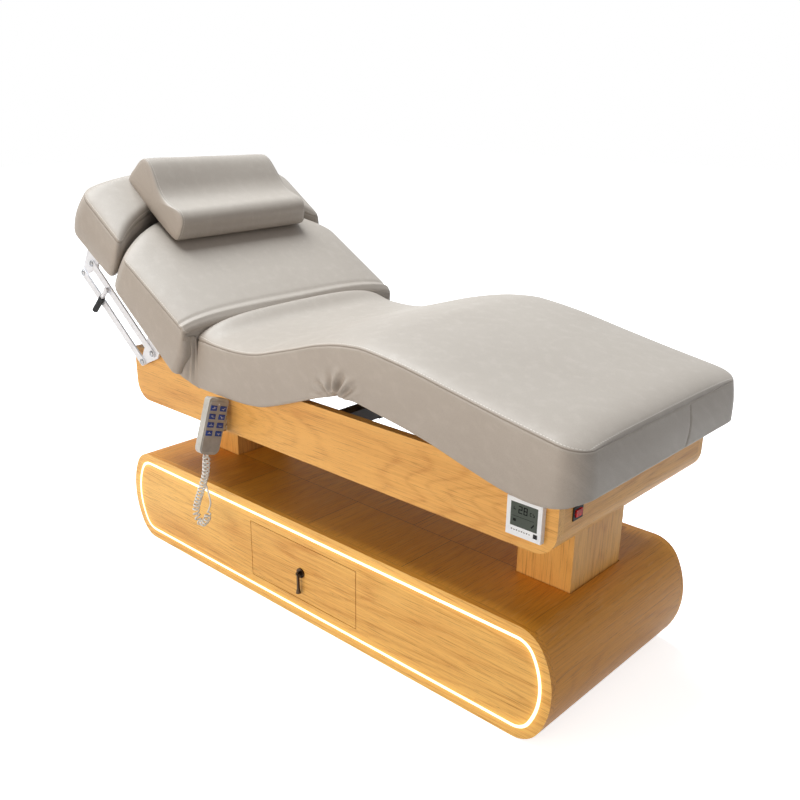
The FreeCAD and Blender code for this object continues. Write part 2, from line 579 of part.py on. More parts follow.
thigh_parts = []
leg_parts = []
leaf_reach = 2 * s.post_side
for side in (-1, 1):
    inner_y = tube_out if side > 0 else -tube_out - s.ear_thick
    outer_y = inner_y + side * (s.ear_thick + s.leaf_gap)
    thigh_parts.append(leaf(f"thigh_leaf_{side + 1}", hinge, leaf_reach, outer_y, thigh_turn, True))
    knee_leaf = leaf(f"knee_leaf_{side + 1}", knee, -leaf_reach, inner_y, thigh_turn, False)
    start = inner_y if side > 0 else outer_y - s.notch_wall
    knee_pin = rod(f"knee_pin_{side + 1}", (knee[0], start, knee[1]), (0, 1, 0), "pin_radius",
                   "2 * ear_thick + leaf_gap + notch_wall", thigh_turn)
    thigh_parts.append(fuse(f"knee_leaf_pinned_{side + 1}", [knee_leaf, knee_pin]))
    leg_parts.append(leaf(f"leg_leaf_{side + 1}", knee, leaf_reach, outer_y, leg_turn, True))
lug_tip = (hinge[0] - s.thigh_lug * sin(radians(s.thigh_angle)),
           hinge[1] - s.thigh_lug * cos(radians(s.thigh_angle)))
lug_outline = polygon([
    (hinge[0] + s.lug_radius, board_low + s.board_rise), (lug_tip[0] - s.lug_radius, lug_tip[1]),
    (lug_tip[0] + s.lug_radius, lug_tip[1], (lug_tip[0], lug_tip[1] - s.lug_radius)),
    (hinge[0] + leaf_reach, board_low + s.board_rise)])
thigh_parts.append(pad("thigh_lug", "XZ_Plane", lug_outline, s.motor_offset + s.ear_thick / 2, "ear_thick",
                       thigh_turn))
for side in (-1, 1):
    strut_y = side * s.tube_offset / 2 - s.tube_width / 2
    thigh_parts.append(box(f"thigh_strut_{side + 1}", (hinge[0] + leaf_reach, strut_y,
                                                       board_low + s.board_rise - s.tube_width),
                           ("thigh_length - 2 * post_side - ear_radius", "tube_width",
                            "tube_width"), thigh_turn))
keep("thigh_hinges", group("thigh_hinges", thigh_parts))
keep("leg_hinges", group("leg_hinges", leg_parts))

# Backrest: cushion with an arched head end, board, frame with hinge arms and drive lug, lower link plates

back_low = board_low + s.board_rise
back_outline = polygon([
    (-s.back_end, skirt_z), (-s.back_end, top_z - s.edge_round),
    (-s.back_end - s.edge_round, top_z,
     arc_middle((-s.back_end - s.edge_round, top_z - s.edge_round), s.edge_round, 0, 90)),
    (-s.back_head - s.back_arch, top_z), (-s.back_head - s.back_arch, skirt_z + s.back_taper),
    (-s.back_head, skirt_z + s.back_taper)])
back_recess_half = s.back_half - s.skirt_wall + s.notch_wall
back_plan = polygon([
    (-s.back_end, -s.back_half), (-s.back_end, s.back_half), (-s.back_head, s.back_half),
    (-s.back_head, -s.back_half, (-s.back_head - s.back_arch, 0))])
keep("back_cushion", cushion("back_cushion", back_outline, -s.back_head - s.back_arch, -s.back_end,
                             s.back_half, skirt_z, 0,
                             back_recess_half, (-s.back_head - s.cut_over,
                                                -s.back_end + s.cut_over), recess_top,
                             back_turn, back_plan))
keep("back_board", box("back_board", (-s.back_head + s.skirt_wall, -back_board_half, back_low),
                       ("back_head - skirt_wall - back_board_end", "2 * (back_half - back_board_inset)",
                        "board_thick"), back_turn))
frame_low = back_low - s.arm_depth
back_frame = []
arm_x = -s.back_pivot_x
for side in (-1, 1):
    inner_y = tube_out + s.ear_thick + s.leaf_gap if side > 0 else -tube_out - 2 * s.ear_thick - s.leaf_gap
    arm_outline = polygon([
        (-s.back_board_end - 4 * s.post_side, frame_low), (-s.back_board_end, frame_low),
        (arm_x + s.lug_radius, s.back_pivot_z - s.lug_radius), (arm_x + s.lug_radius, s.back_pivot_z),
        (arm_x - s.lug_radius, s.back_pivot_z, (arm_x, s.back_pivot_z + s.lug_radius)),
        (-s.back_board_end + s.notch_wall, back_low), (-s.back_board_end - 4 * s.post_side, back_low)])
    arm = pad(f"back_arm_{side + 1}", "XZ_Plane", arm_outline, inner_y + s.ear_thick, "ear_thick", back_turn)
    bore = rod(f"back_bore_{side + 1}", (arm_x, inner_y - s.cut_over, s.back_pivot_z), (0, 1, 0),
               "pin_radius + pin_fit",
               "ear_thick + 2 * cut_over", back_turn)
    back_frame.append(cut(f"back_arm_bored_{side + 1}", arm, bore))
cross_x = -s.back_board_end - s.post_side
cross_length = "2 * (tube_offset + tube_width + ear_thick + leaf_gap)"
for number, place in enumerate((cross_x, cross_x - 2 * s.post_side)):
    back_frame.append(box(f"back_cross_{number}", (place, -tube_out - s.ear_thick - s.leaf_gap, frame_low),
                          ("tube_width", cross_length, "arm_depth"), back_turn))
lug_angle = radians(s.back_angle)
back_lug = (arm_x + s.back_lug * sin(lug_angle), s.back_pivot_z - s.back_lug * cos(lug_angle))
back_lug_outline = polygon([
    (cross_x + s.tube_width / 2, frame_low), (back_lug[0], back_lug[1] - s.lug_radius),
    (back_lug[0], back_lug[1] + s.lug_radius, (back_lug[0] + s.lug_radius, back_lug[1])),
    (cross_x + s.tube_width, back_low)])
back_frame.append(pad("back_lug", "XZ_Plane", back_lug_outline, -s.motor_offset + s.ear_thick / 2,
                      "ear_thick",
                      back_turn))
keep("back_frame", fuse("back_frame", back_frame))

link_low = (-s.link_low_x, s.link_low_z)
link_back = (link_low[0] - s.link_step_x, link_low[1] - s.link_step_z)
link_high = (link_low[0] - s.link_reach, link_low[1] + s.link_climb)
link_end = (link_back[0] - s.link_reach, link_back[1] + s.link_climb)
arm_angle = atan2(s.link_climb, -s.link_reach)


def link_plate(name, first, second, top, inner_y, turn):
    """A plate that carries both arm pivots and turns up to the edge of a board."""
    radius = s.link_width / 2
    outline = polygon([
        (second[0] - radius, second[1]), (second[0] + radius, second[1], (second[0], second[1] - radius)),
        (first[0] + 2 * radius, first[1]), (first[0] + 2 * radius, top), (second[0] - radius, top)])
    plate = pad(name, "XZ_Plane", outline, inner_y + s.link_thick, "link_thick", turn)
    bolts = [rod(f"{name}_bolt_{number}", (point[0], inner_y - s.link_thick, point[1]), (0, 1, 0),
                 "link_bolt",
                 "3 * link_thick + 2 * leaf_gap", turn) for number, point in enumerate((first, second))]
    return fuse(name + "_bolted", [plate] + bolts)


def side_y(side, inner, thick):
    return inner if side > 0 else -inner - thick


head_low = back_low + s.head_lift
low_plates = []
high_plates = []
upper_arms = []
lower_arms = []


def link_arm(name, start, side):
    inner = s.link_side + s.link_thick + s.leaf_gap
    low_y = side_y(side, inner, s.link_thick)
    length = hypot(s.link_reach, s.link_climb)
    spot = FreeCAD.Placement(vector(start[0], 0, start[1]), FreeCAD.Rotation(vector(0, 1, 0),
                                                                             -arm_angle * 180 / pi))
    place = back_turn.multiply(spot)
    radius = s.link_width / 2
    outline = polygon([(length, -radius), (length, radius, (length + radius, 0)), (0, radius),
                       (0, -radius, (-radius, 0))])
    plate = pad(name, "XZ_Plane", outline, low_y + s.link_thick, "link_thick", place)
    holes = [rod(f"{name}_hole_{number}", (x, low_y - s.cut_over, 0), (0, 1, 0), "link_bolt + pin_fit",
                 "link_thick + 2 * cut_over", place) for number, x in enumerate((0, length))]
    return cut(name + "_bored", plate, group(name + "_holes", holes))


for side in (-1, 1):
    plate_y = side_y(side, s.link_side, s.link_thick)
    low_plates.append(link_plate(f"low_plate_{side + 1}", link_low, link_back, back_low + s.board_thick,
                                 plate_y,
                                 back_turn))
    high_plates.append(link_plate(f"high_plate_{side + 1}", link_high, link_end, head_low + s.board_thick,
                                  plate_y,
                                  back_turn))
    upper_arms.append(link_arm(f"upper_arm_{side + 1}", link_low, side))
    lower_arms.append(link_arm(f"lower_arm_{side + 1}", link_back, side))
keep("link_plates_lower", group("link_plates_lower", low_plates))
keep("headrest_plates", group("headrest_plates", high_plates))
keep("headrest_arms_upper", group("headrest_arms_upper", upper_arms))
keep("headrest_arms_lower", group("headrest_arms_lower", lower_arms))

# Headrest board and cushion, and the loose contour pillow on it

head_front = -s.head_front
head_corner = head_front - s.head_length
head_end = head_corner - s.head_bow
head_skirt = skirt_z + s.head_skirt_lift
head_recess_half = s.head_half - s.skirt_wall + s.notch_wall
head_outline = rounded(head_end, head_front, head_skirt, top_z + s.head_lift, s.edge_round, s.edge_round)


def sag(rise, half):
    """The rise over a shorter chord of the arc that rises so much over the headrest's width."""
    radius = (s.head_half ** 2 + rise ** 2) / (2 * rise)
    return radius - sqrt(radius ** 2 - half ** 2)


def crescent(half, wall):
    """The headrest's plan drawn in by a wall: a bowed head end and a foot end hollowed round the back."""
    bow = sag(s.head_bow, half)
    arch = sag(s.back_arch, half)
    head = head_end + bow + wall
    foot = head_front - s.back_arch + arch - wall
    return polygon([(head, half), (head, -half, (head - bow, 0)), (foot, -half),
                    (foot, half, (foot - arch, 0))])


head_plan = crescent(s.head_half, 0)
head_recess = crescent(head_recess_half, s.skirt_wall)
head_board = crescent(head_board_half, s.skirt_wall + s.notch_wall)
keep("headrest_cushion", cushion("headrest_cushion", head_outline, head_end, head_front, s.head_half,
                                 head_skirt, s.head_lift, head_recess_half, None, head_low + s.board_thick,
                                 back_turn, head_plan, head_recess))
keep("headrest_board", pad("headrest_board", "XY_Plane", head_board, head_low, "board_thick", back_turn))
pillow_place = back_turn.multiply(FreeCAD.Placement(vector(-s.pillow_front, s.pillow_shift, s.pillow_base),
                                                    FreeCAD.Rotation(vector(0, 1, 0), s.pillow_tilt)))
lobe = s.pillow_thick + s.pillow_lobe
reach = s.pillow_length
pillow_outline = polygon([
    (-s.pillow_lobe, 0), (-s.pillow_lobe, lobe, (s.pillow_lobe, lobe / 2)),
    (-reach / 3, lobe, (-reach / 6, lobe + s.pillow_lobe)),
    (-2 * reach / 3, lobe, (-reach / 2, s.pillow_thick)),
    (-reach + s.pillow_lobe, lobe, (-5 * reach / 6, lobe + s.pillow_lobe)),
    (-reach + s.pillow_lobe, 0, (-reach - s.pillow_lobe, lobe / 2))])
keep("pillow", pad("pillow", "XZ_Plane", pillow_outline, s.pillow_half, "2 * pillow_half", pillow_place))

# Release lever on the near upper arm, with a black grip

lever_x = link_low[0] - s.lever_share * s.link_reach
lever_z = link_low[1] + s.lever_share * s.link_climb
lever_y = -s.link_side - 2 * s.link_thick - 2 * s.leaf_gap - s.grip_radius
lever_place = back_turn.multiply(FreeCAD.Placement(vector(lever_x, lever_y, lever_z),
                                                   FreeCAD.Rotation(vector(0, 1, 0), s.lever_slant)))
bar_length = s.lever_length - s.grip_length
lever_bar = box("lever_bar", (-s.lever_radius, -s.lever_radius, -bar_length),
                ("2 * lever_radius", "2 * lever_radius", "lever_length - grip_length"), lever_place)
lever_boss = rod("lever_boss", (0, -s.lever_radius, 0), (0, 1, 0), "link_bolt + lever_radius / 2",
                 "lever_radius + grip_radius", lever_place)
keep("release_lever", fuse("release_lever", [lever_bar, lever_boss]))
keep("lever_grip", rod("lever_grip", (0, 0, -bar_length), (0, 0, -1), "grip_radius", "grip_length",
                       lever_place))

# Actuators under the seat: a bored motor tube on a crossbar and its sliding rod


def actuator(name, start, way, offset, length, tip, rod_length):
    level = s.tube_level + s.tube_height / 2
    tube = rod(name + "_tube", (start, offset, level), (way, 0, 0), "motor_radius", length)
    gear = box(name + "_gear", (start if way > 0 else start - 2 * s.motor_radius, offset - s.motor_radius,
                                level - 2 * s.motor_radius), ("2 * motor_radius", "2 * motor_radius",
                                                              "2 * motor_radius"))
    hollow = rod(name + "_hollow", (start + way * s.cut_over, offset, level), (way, 0, 0),
                 "rod_radius + rod_fit",
                 length + " + cut_over")
    keep(name, cut(name, fuse(name + "_solid", [tube, gear]), hollow))
    keep(name + "_rod", rod(name + "_rod", (tip, offset, level), (-way, 0, 0), "rod_radius", rod_length))


back_tip = arm_x + s.rod_clear
actuator("back_actuator", s.crossbar_middle - s.tube_height / 2, -1, -s.motor_offset, "back_motor_length",
         back_tip,
         "back_rod_length")
leg_tip = hinge[0] - s.rod_clear
actuator("leg_actuator", -crossbar_head + s.tube_height / 2, 1, s.motor_offset, "leg_motor_length", leg_tip,
         "leg_rod_length")

# Handset on its hook: rounded shell, face with eight sunk buttons, turned towards the foot and leaning out

handset_place = FreeCAD.Placement(vector(-s.handset_x, -s.handset_y, s.handset_z),
                                  FreeCAD.Rotation(vector(0, 0, 1), s.handset_turn))
handset_place = handset_place.multiply(FreeCAD.Placement(vector(0, 0, 0),
                                                         FreeCAD.Rotation(vector(0, 1, 0), s.handset_lean)))
half_w = s.handset_width / 2
half_l = s.handset_length / 2
face_y = -s.handset_thick / 2
shell_outline = rounded(-half_w, half_w, -half_l, half_l, 2 * s.handset_round, s.handset_round)
shell_blank = pad("handset_blank", "XZ_Plane", shell_outline, s.handset_thick / 2, "handset_thick",
                  handset_place)
face_outline = rounded(-s.face_width / 2, s.face_width / 2, -s.face_length / 2, s.face_length / 2,
                       s.handset_round,
                       s.handset_round)
face_plate = pad("face_plate", "XZ_Plane", face_outline, face_y, "face_thick", handset_place)
buttons = []
holes = []
button_back = face_y - s.face_thick - s.button_proud + s.button_thick
for row in range(4):
    for column in range(2):
        x = (column - 1 / 2) * s.button_pitch_x
        z = half_l - s.button_top - row * s.button_pitch_z
        name = f"handset_button_{row + 1}{'ab'[column]}"
        low = (x - s.button_width / 2, button_back - s.button_thick, z - s.button_height / 2)
        keep(name, box(name, low, ("button_width", "button_thick", "button_height"), handset_place))
        holes.append(box(f"{name}_hole", (low[0] - s.button_gap, low[1], low[2] - s.button_gap),
                         ("button_width + 2 * button_gap", "button_thick + button_travel + button_gap",
                          "button_height + 2 * button_gap"), handset_place))
button_holes = group("button_holes", holes)
keep("handset_face", cut("handset_face", face_plate, button_holes))
keep("handset_shell", cut("handset_shell", shell_blank, button_holes))
hook_x = -s.handset_x - s.handset_thick / 2 - s.hook_plate
hook_low = s.handset_z - s.hook_height / 2
hook_wing = box("hook_wing", (hook_x, -s.handset_y - s.hook_width / 2, hook_low),
                ("hook_plate", "handset_y + hook_width / 2 - apron_width / 2", "hook_height"))
hook_plate = box("hook_plate", (hook_x - s.hook_width, -rail_y - s.hook_plate, hook_low),
                 ("hook_width + hook_plate", "hook_plate", "hook_height"))
hook_post = rod("hook_post", (hook_x, -s.handset_y, s.handset_z), (1, 0, 0), "hook_post",
                "hook_plate + hook_sink")
keep("handset_hook", fuse("handset_hook", [hook_wing, hook_plate, hook_post]))

# Curly cord: from the handset round a hanging loop, then a plain tail up to its gland under the front rail

end_point = handset_place.multVec(vector(0, 0, -half_l - s.cord_radius / 2))
gland_point = vector(-s.cord_gland_x, -rail_y + s.rail_wall / 2, s.apron_bottom - s.cord_gland_height)
coil_steps = ((-16, 7, -58), (-50, 11, -127), (-78, 14, -178), (-86, 14, -211), (-65, 15, -237),
              (-39, 16, -216), (-32, 18, -188))
tail_steps = ((103, -73, -191), (80, -61, -171), (33, -41, -134), (3, -14, -90), (0, 0, -40))
coil_route = [end_point] + [end_point + vector(*step) for step in coil_steps]
tail_route = [gland_point + vector(*step) for step in tail_steps] + [gland_point]
axis_curve = Part.BSplineCurve()
axis_curve.interpolate(coil_route)


def biarc(p0, t0, p1, t1):
    """Two arcs that leave p0 along t0, meet smoothly and reach p1 along t1."""
    chord = p1 - p0
    both = t0 + t1
    spread = 2 * (1 - t0.dot(t1))
    reach_in = chord.dot(both)
    if spread < 1e-9:
        length = chord.dot(chord) / (4 * chord.dot(t1))
    else:
        length = (sqrt(reach_in ** 2 + spread * chord.dot(chord)) - reach_in) / spread
    first = p0 + t0 * length
    last = p1 - t1 * length
    meet = (first + last) * 0.5
    edges = []
    for start, corner, end in ((p0, first, meet), (meet, last, p1)):
        weight = (end - start).Length / 2 / length
        middle = (start + corner * (2 * weight) + end) * (1 / (2 + 2 * weight))
        edges.append(Part.Arc(start, middle, end).toShape())
    return edges


def coil_frames():
    """Places and cross directions along the coil's axis, with the cross direction carried along untwisted."""
    count = int(s.coil_turns) * turn_steps
    first, last = axis_curve.FirstParameter, axis_curve.LastParameter
    total = axis_curve.length()
    side = vector(0, 1, 0)
    frames = []
    for step in range(count + 1):
        parameter = axis_curve.parameterAtDistance(total * step / count, first)
        tangent = axis_curve.tangent(parameter)[0]
        side = (side - tangent * side.dot(tangent)).normalize()
        frames.append((axis_curve.value(parameter), side, tangent.cross(side), tangent))
    return frames


turn_steps = 8
frames = coil_frames()


def helix_point(step):
    place, side, cross, tangent = frames[step]
    angle = 2 * pi * step / turn_steps
    ease = min(1, step / turn_steps, (len(frames) - 1 - step) / turn_steps)
    radius = s.coil_radius * ease
    return place + side * (radius * cos(angle)) + cross * (radius * sin(angle))


steps = list(range(0, len(frames), 2))
points = [helix_point(step) for step in steps]
tangents = []
for number in range(len(points)):
    before = points[max(number - 1, 0)]
    after = points[min(number + 1, len(points) - 1)]
    tangents.append((after - before).normalize())
tangents[0] = frames[0][3]
tangents[-1] = (tail_route[0] - points[-1]).normalize()
cord_edges = []
for number in range(len(points) - 1):
    cord_edges += biarc(points[number], tangents[number], points[number + 1], tangents[number + 1])
run = [points[-1]] + tail_route
here = run[0]
for number in range(1, len(run) - 1):
    back = run[number] - run[number - 1]
    ahead = run[number + 1] - run[number]
    half_turn = back.getAngle(ahead) / 2
    trim = s.bend_share * min(back.Length, ahead.Length)
    enter = run[number] - back.normalize() * trim
    leave = run[number] + ahead.normalize() * trim
    weight = cos(half_turn)
    middle = (enter + run[number] * (2 * weight) + leave) * (1 / (2 + 2 * weight))
    cord_edges.append(Part.LineSegment(here, enter).toShape())
    cord_edges.append(Part.Arc(enter, middle, leave).toShape())
    here = leave
cord_edges.append(Part.LineSegment(here, run[-1]).toShape())
path = Part.Wire(cord_edges)
ring = Part.Wire(Part.makeCircle(s.cord_radius, points[0], frames[0][3]))
cord = doc.addObject("Part::Feature", "handset_cord")
cord.Shape = path.makePipeShell([ring], True, False)
keep("handset_cord", cord)
gland = rod("cord_gland", tuple(gland_point), (0, 0, 1), "cord_gland_radius", "cord_gland_height")
keep("control_box", group("control_box", [control_case, gland]))

# Thermostat on the front rail and rocker switch in the foot rail

stat_x = s.apron_foot - s.thermostat_foot - s.thermostat_side
stat_z = s.apron_bottom + s.thermostat_low
stat_y = -rail_y - s.thermostat_depth
stat_blank = box("stat_blank", (stat_x, stat_y, stat_z), ("thermostat_side", "thermostat_depth",
                                                          "thermostat_side"))
screen_x = stat_x + (s.thermostat_side - s.screen_width) / 2
screen_z = stat_z + s.thermostat_side - s.screen_top - s.screen_height
screen_spans = ("screen_width", "screen_depth", "screen_height")
keep("thermostat_screen", box("thermostat_screen", (screen_x, stat_y, screen_z), screen_spans))
screen_seat = box("screen_seat", (screen_x, stat_y, screen_z), screen_spans)
key_x = stat_x + s.thermostat_side - s.key_inset - s.key_side
key_z = stat_z + s.key_inset
keep("thermostat_key", box("thermostat_key", (key_x, stat_y - s.key_travel, key_z),
                           ("key_side", "key_depth", "key_side")))
key_hole = box("key_hole", (key_x - s.key_gap, stat_y - s.cut_over, key_z - s.key_gap),
               ("key_side + 2 * key_gap", "key_depth + cut_over + key_gap", "key_side + 2 * key_gap"))
keep("thermostat_body", cut("thermostat_body", stat_blank, group("stat_cuts", [screen_seat, key_hole])))

flange = box("switch_flange", (s.apron_foot, -s.switch_y - s.switch_width / 2,
                               s.switch_z - s.switch_height / 2),
             ("switch_flange", "switch_width", "switch_height"))
neck_low = (s.apron_foot - s.rail_wall, -s.switch_y - s.switch_width / 2 + s.switch_flange_edge,
            s.switch_z - s.switch_height / 2 + s.switch_flange_edge)
neck = box("switch_neck", neck_low, ("rail_wall", "switch_width - 2 * switch_flange_edge",
                                     "switch_height - 2 * switch_flange_edge"))
well_x = s.apron_foot + s.switch_flange + s.rocker_proud - s.rocker_thick - 2 * s.rocker_gap
well = box("switch_well", (well_x, neck_low[1] + s.switch_rim, neck_low[2] + s.switch_rim),
           ("2 * rocker_thick", "switch_width - 2 * switch_flange_edge - 2 * switch_rim",
            "switch_height - 2 * switch_flange_edge - 2 * switch_rim"))
pivot_x = s.apron_foot + s.switch_flange / 2
trunnion_half = s.switch_width / 2 - s.switch_flange_edge - s.switch_rim / 2
trunnion_hole = rod("trunnion_hole", (pivot_x, -s.switch_y - trunnion_half - s.leaf_gap, s.switch_z),
                    (0, 1, 0), "trunnion_radius + pin_fit",
                    "switch_width - 2 * switch_flange_edge - switch_rim + 2 * leaf_gap")
keep("switch_housing", cut("switch_housing", fuse("switch_solid", [flange, neck]),
                           group("switch_cuts", [well, trunnion_hole])))
rocker_low = (s.apron_foot + s.switch_flange + s.rocker_proud - s.rocker_thick,
              neck_low[1] + s.switch_rim + s.leaf_gap, neck_low[2] + s.switch_rim + s.rocker_gap)
rocker_block = box("rocker_block", rocker_low,
                   ("rocker_thick", "switch_width - 2 * switch_flange_edge - 2 * switch_rim - 2 * leaf_gap",
                    "switch_height - 2 * switch_flange_edge - 2 * switch_rim - 2 * rocker_gap"))
trunnion = rod("trunnion", (pivot_x, -s.switch_y - trunnion_half, s.switch_z), (0, 1, 0), "trunnion_radius",
               "switch_width - 2 * switch_flange_edge - switch_rim")
keep("switch_rocker", fuse("switch_rocker", [rocker_block, trunnion]))

# Build, check and write each piece

doc.recompute()
for piece in doc.Objects:
    if {"Invalid", "Error"} & set(piece.State):
        raise RuntimeError(f"{piece.Label} failed: {piece.State}")
for label, piece in nodes.items():
    if piece.Shape.isNull() or not piece.Shape.isValid() or not piece.Shape.Solids:
        raise RuntimeError(f"{label} has no valid solid")
os.makedirs("parts", exist_ok=True)
for label, piece in nodes.items():
    piece.Shape.exportStep(f"parts/{label}.step")
print(len(nodes), "pieces")
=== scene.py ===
from math import cos, exp, hypot, pi, radians, sin, sqrt

import bpy
from mathutils import Matrix, Vector, noise


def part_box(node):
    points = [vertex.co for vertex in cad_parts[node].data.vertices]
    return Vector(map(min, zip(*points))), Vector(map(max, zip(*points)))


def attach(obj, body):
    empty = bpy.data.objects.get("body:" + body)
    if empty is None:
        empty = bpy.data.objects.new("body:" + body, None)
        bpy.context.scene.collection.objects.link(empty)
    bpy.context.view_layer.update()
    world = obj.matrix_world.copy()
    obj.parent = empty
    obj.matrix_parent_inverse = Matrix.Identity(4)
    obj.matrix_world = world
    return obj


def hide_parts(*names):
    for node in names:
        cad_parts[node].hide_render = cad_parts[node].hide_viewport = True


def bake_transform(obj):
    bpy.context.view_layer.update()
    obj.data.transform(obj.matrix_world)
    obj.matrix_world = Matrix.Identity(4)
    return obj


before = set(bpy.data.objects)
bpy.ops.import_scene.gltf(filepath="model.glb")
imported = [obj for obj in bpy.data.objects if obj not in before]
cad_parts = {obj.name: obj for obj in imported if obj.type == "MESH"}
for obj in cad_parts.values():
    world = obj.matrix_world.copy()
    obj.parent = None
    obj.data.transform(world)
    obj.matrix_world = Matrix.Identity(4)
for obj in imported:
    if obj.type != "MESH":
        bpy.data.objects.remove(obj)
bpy.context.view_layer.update()  # brings the scene up to date after the pieces are moved


# Base: a plywood box faced in oak veneer, with the veneer bent round both ends and laid on top in blocks.
# The lacquer is satin. Its front carries a warm light line let into a groove near the edge.
# The lift columns and the drawer's fixed runners are steel, bolted inside.

class Tone:
    """A shader socket. Sums on it make the nodes that do them."""

    def __init__(self, tree, socket=None):
        self.tree = tree
        self.socket = socket

    def node(self, kind, settings=None, inputs=None, out=0):
        made = self.tree.nodes.new("ShaderNode" + kind)
        for name, value in (settings or {}).items():
            setattr(made, name, value)
        for name, value in (inputs or {}).items():
            self.feed(made.inputs[name], value)
        return Tone(self.tree, made.outputs[out])

    def feed(self, socket, value):
        if isinstance(value, Tone):
            self.tree.links.new(value.socket, socket)
        else:
            socket.default_value = value

    def sum(self, kind, *values):
        return self.node("Math", {"operation": kind}, dict(enumerate(values)))

    def __add__(self, other):
        return self.sum("ADD", self, other)

    def __sub__(self, other):
        return self.sum("SUBTRACT", self, other)

    def __mul__(self, other):
        return self.sum("MULTIPLY", self, other)

    def __truediv__(self, other):
        return self.sum("DIVIDE", self, other)

    def __rsub__(self, other):
        return self.sum("SUBTRACT", other, self)

    def __rtruediv__(self, other):
        return self.sum("DIVIDE", other, self)

    __radd__ = __add__
    __rmul__ = __mul__

    def scaled(self, x, y, z):
        return self.node("Mapping", inputs={"Vector": self, "Scale": (x, y, z)})

    def noise(self, scale, detail=2.0, rough=0.5, warp=0.0):
        return self.node("TexNoise", inputs={"Vector": self, "Scale": scale, "Detail": detail,
                                             "Roughness": rough, "Distortion": warp})

    def span(self, low, high):
        return self.node("MapRange", {"interpolation_type": "SMOOTHSTEP"},
                         {"Value": self, "From Min": low, "From Max": high})

    def between(self, low, high):
        return self.node("Mix", {"data_type": "RGBA"}, {0: self, 6: low, 7: high}, 2)

    def axes(self):
        return [self.node("SeparateXYZ", inputs={0: self}, out=each) for each in range(3)]

    def bump(self, strength, distance, under=None):
        inputs = {"Height": self, "Strength": strength, "Distance": distance}
        if under:
            inputs["Normal"] = under
        return self.node("Bump", inputs=inputs)


def colour(red, green, blue):
    """A colour written as it is seen on a screen, 0 to 255."""
    return (*[(each / 255 / 12.92 if each < 11 else ((each / 255 + 0.055) / 1.055) ** 2.4)
              for each in (red, green, blue)], 1.0)


def paint(name, **constants):
    """A material with its principled sockets set, a tone to start from, and a way to feed the rest."""
    material = bpy.data.materials.new(name)
    material.use_nodes = True
    tree = material.node_tree
    shader = tree.nodes["Principled BSDF"]
    start = Tone(tree)

    def feed(**inputs):
        for socket, value in inputs.items():
            start.feed(shader.inputs[socket.replace("_", " ")], value)

    feed(**constants)
    return material, start, feed


def dress(material, *names):
    """Gives CAD pieces their finish."""
    for name in names:
        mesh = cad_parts[name].data
        mesh.materials.clear()
        mesh.materials.append(material)


def ease(names, width):
    """A small worn radius on the sharp edges of CAD pieces."""
    for name in names:
        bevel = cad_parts[name].modifiers.new("worn_edge", "BEVEL")
        bevel.width = width
        bevel.segments = 2
        bevel.limit_method = "ANGLE"
        bevel.angle_limit = radians(50)
        bevel.harden_normals = False


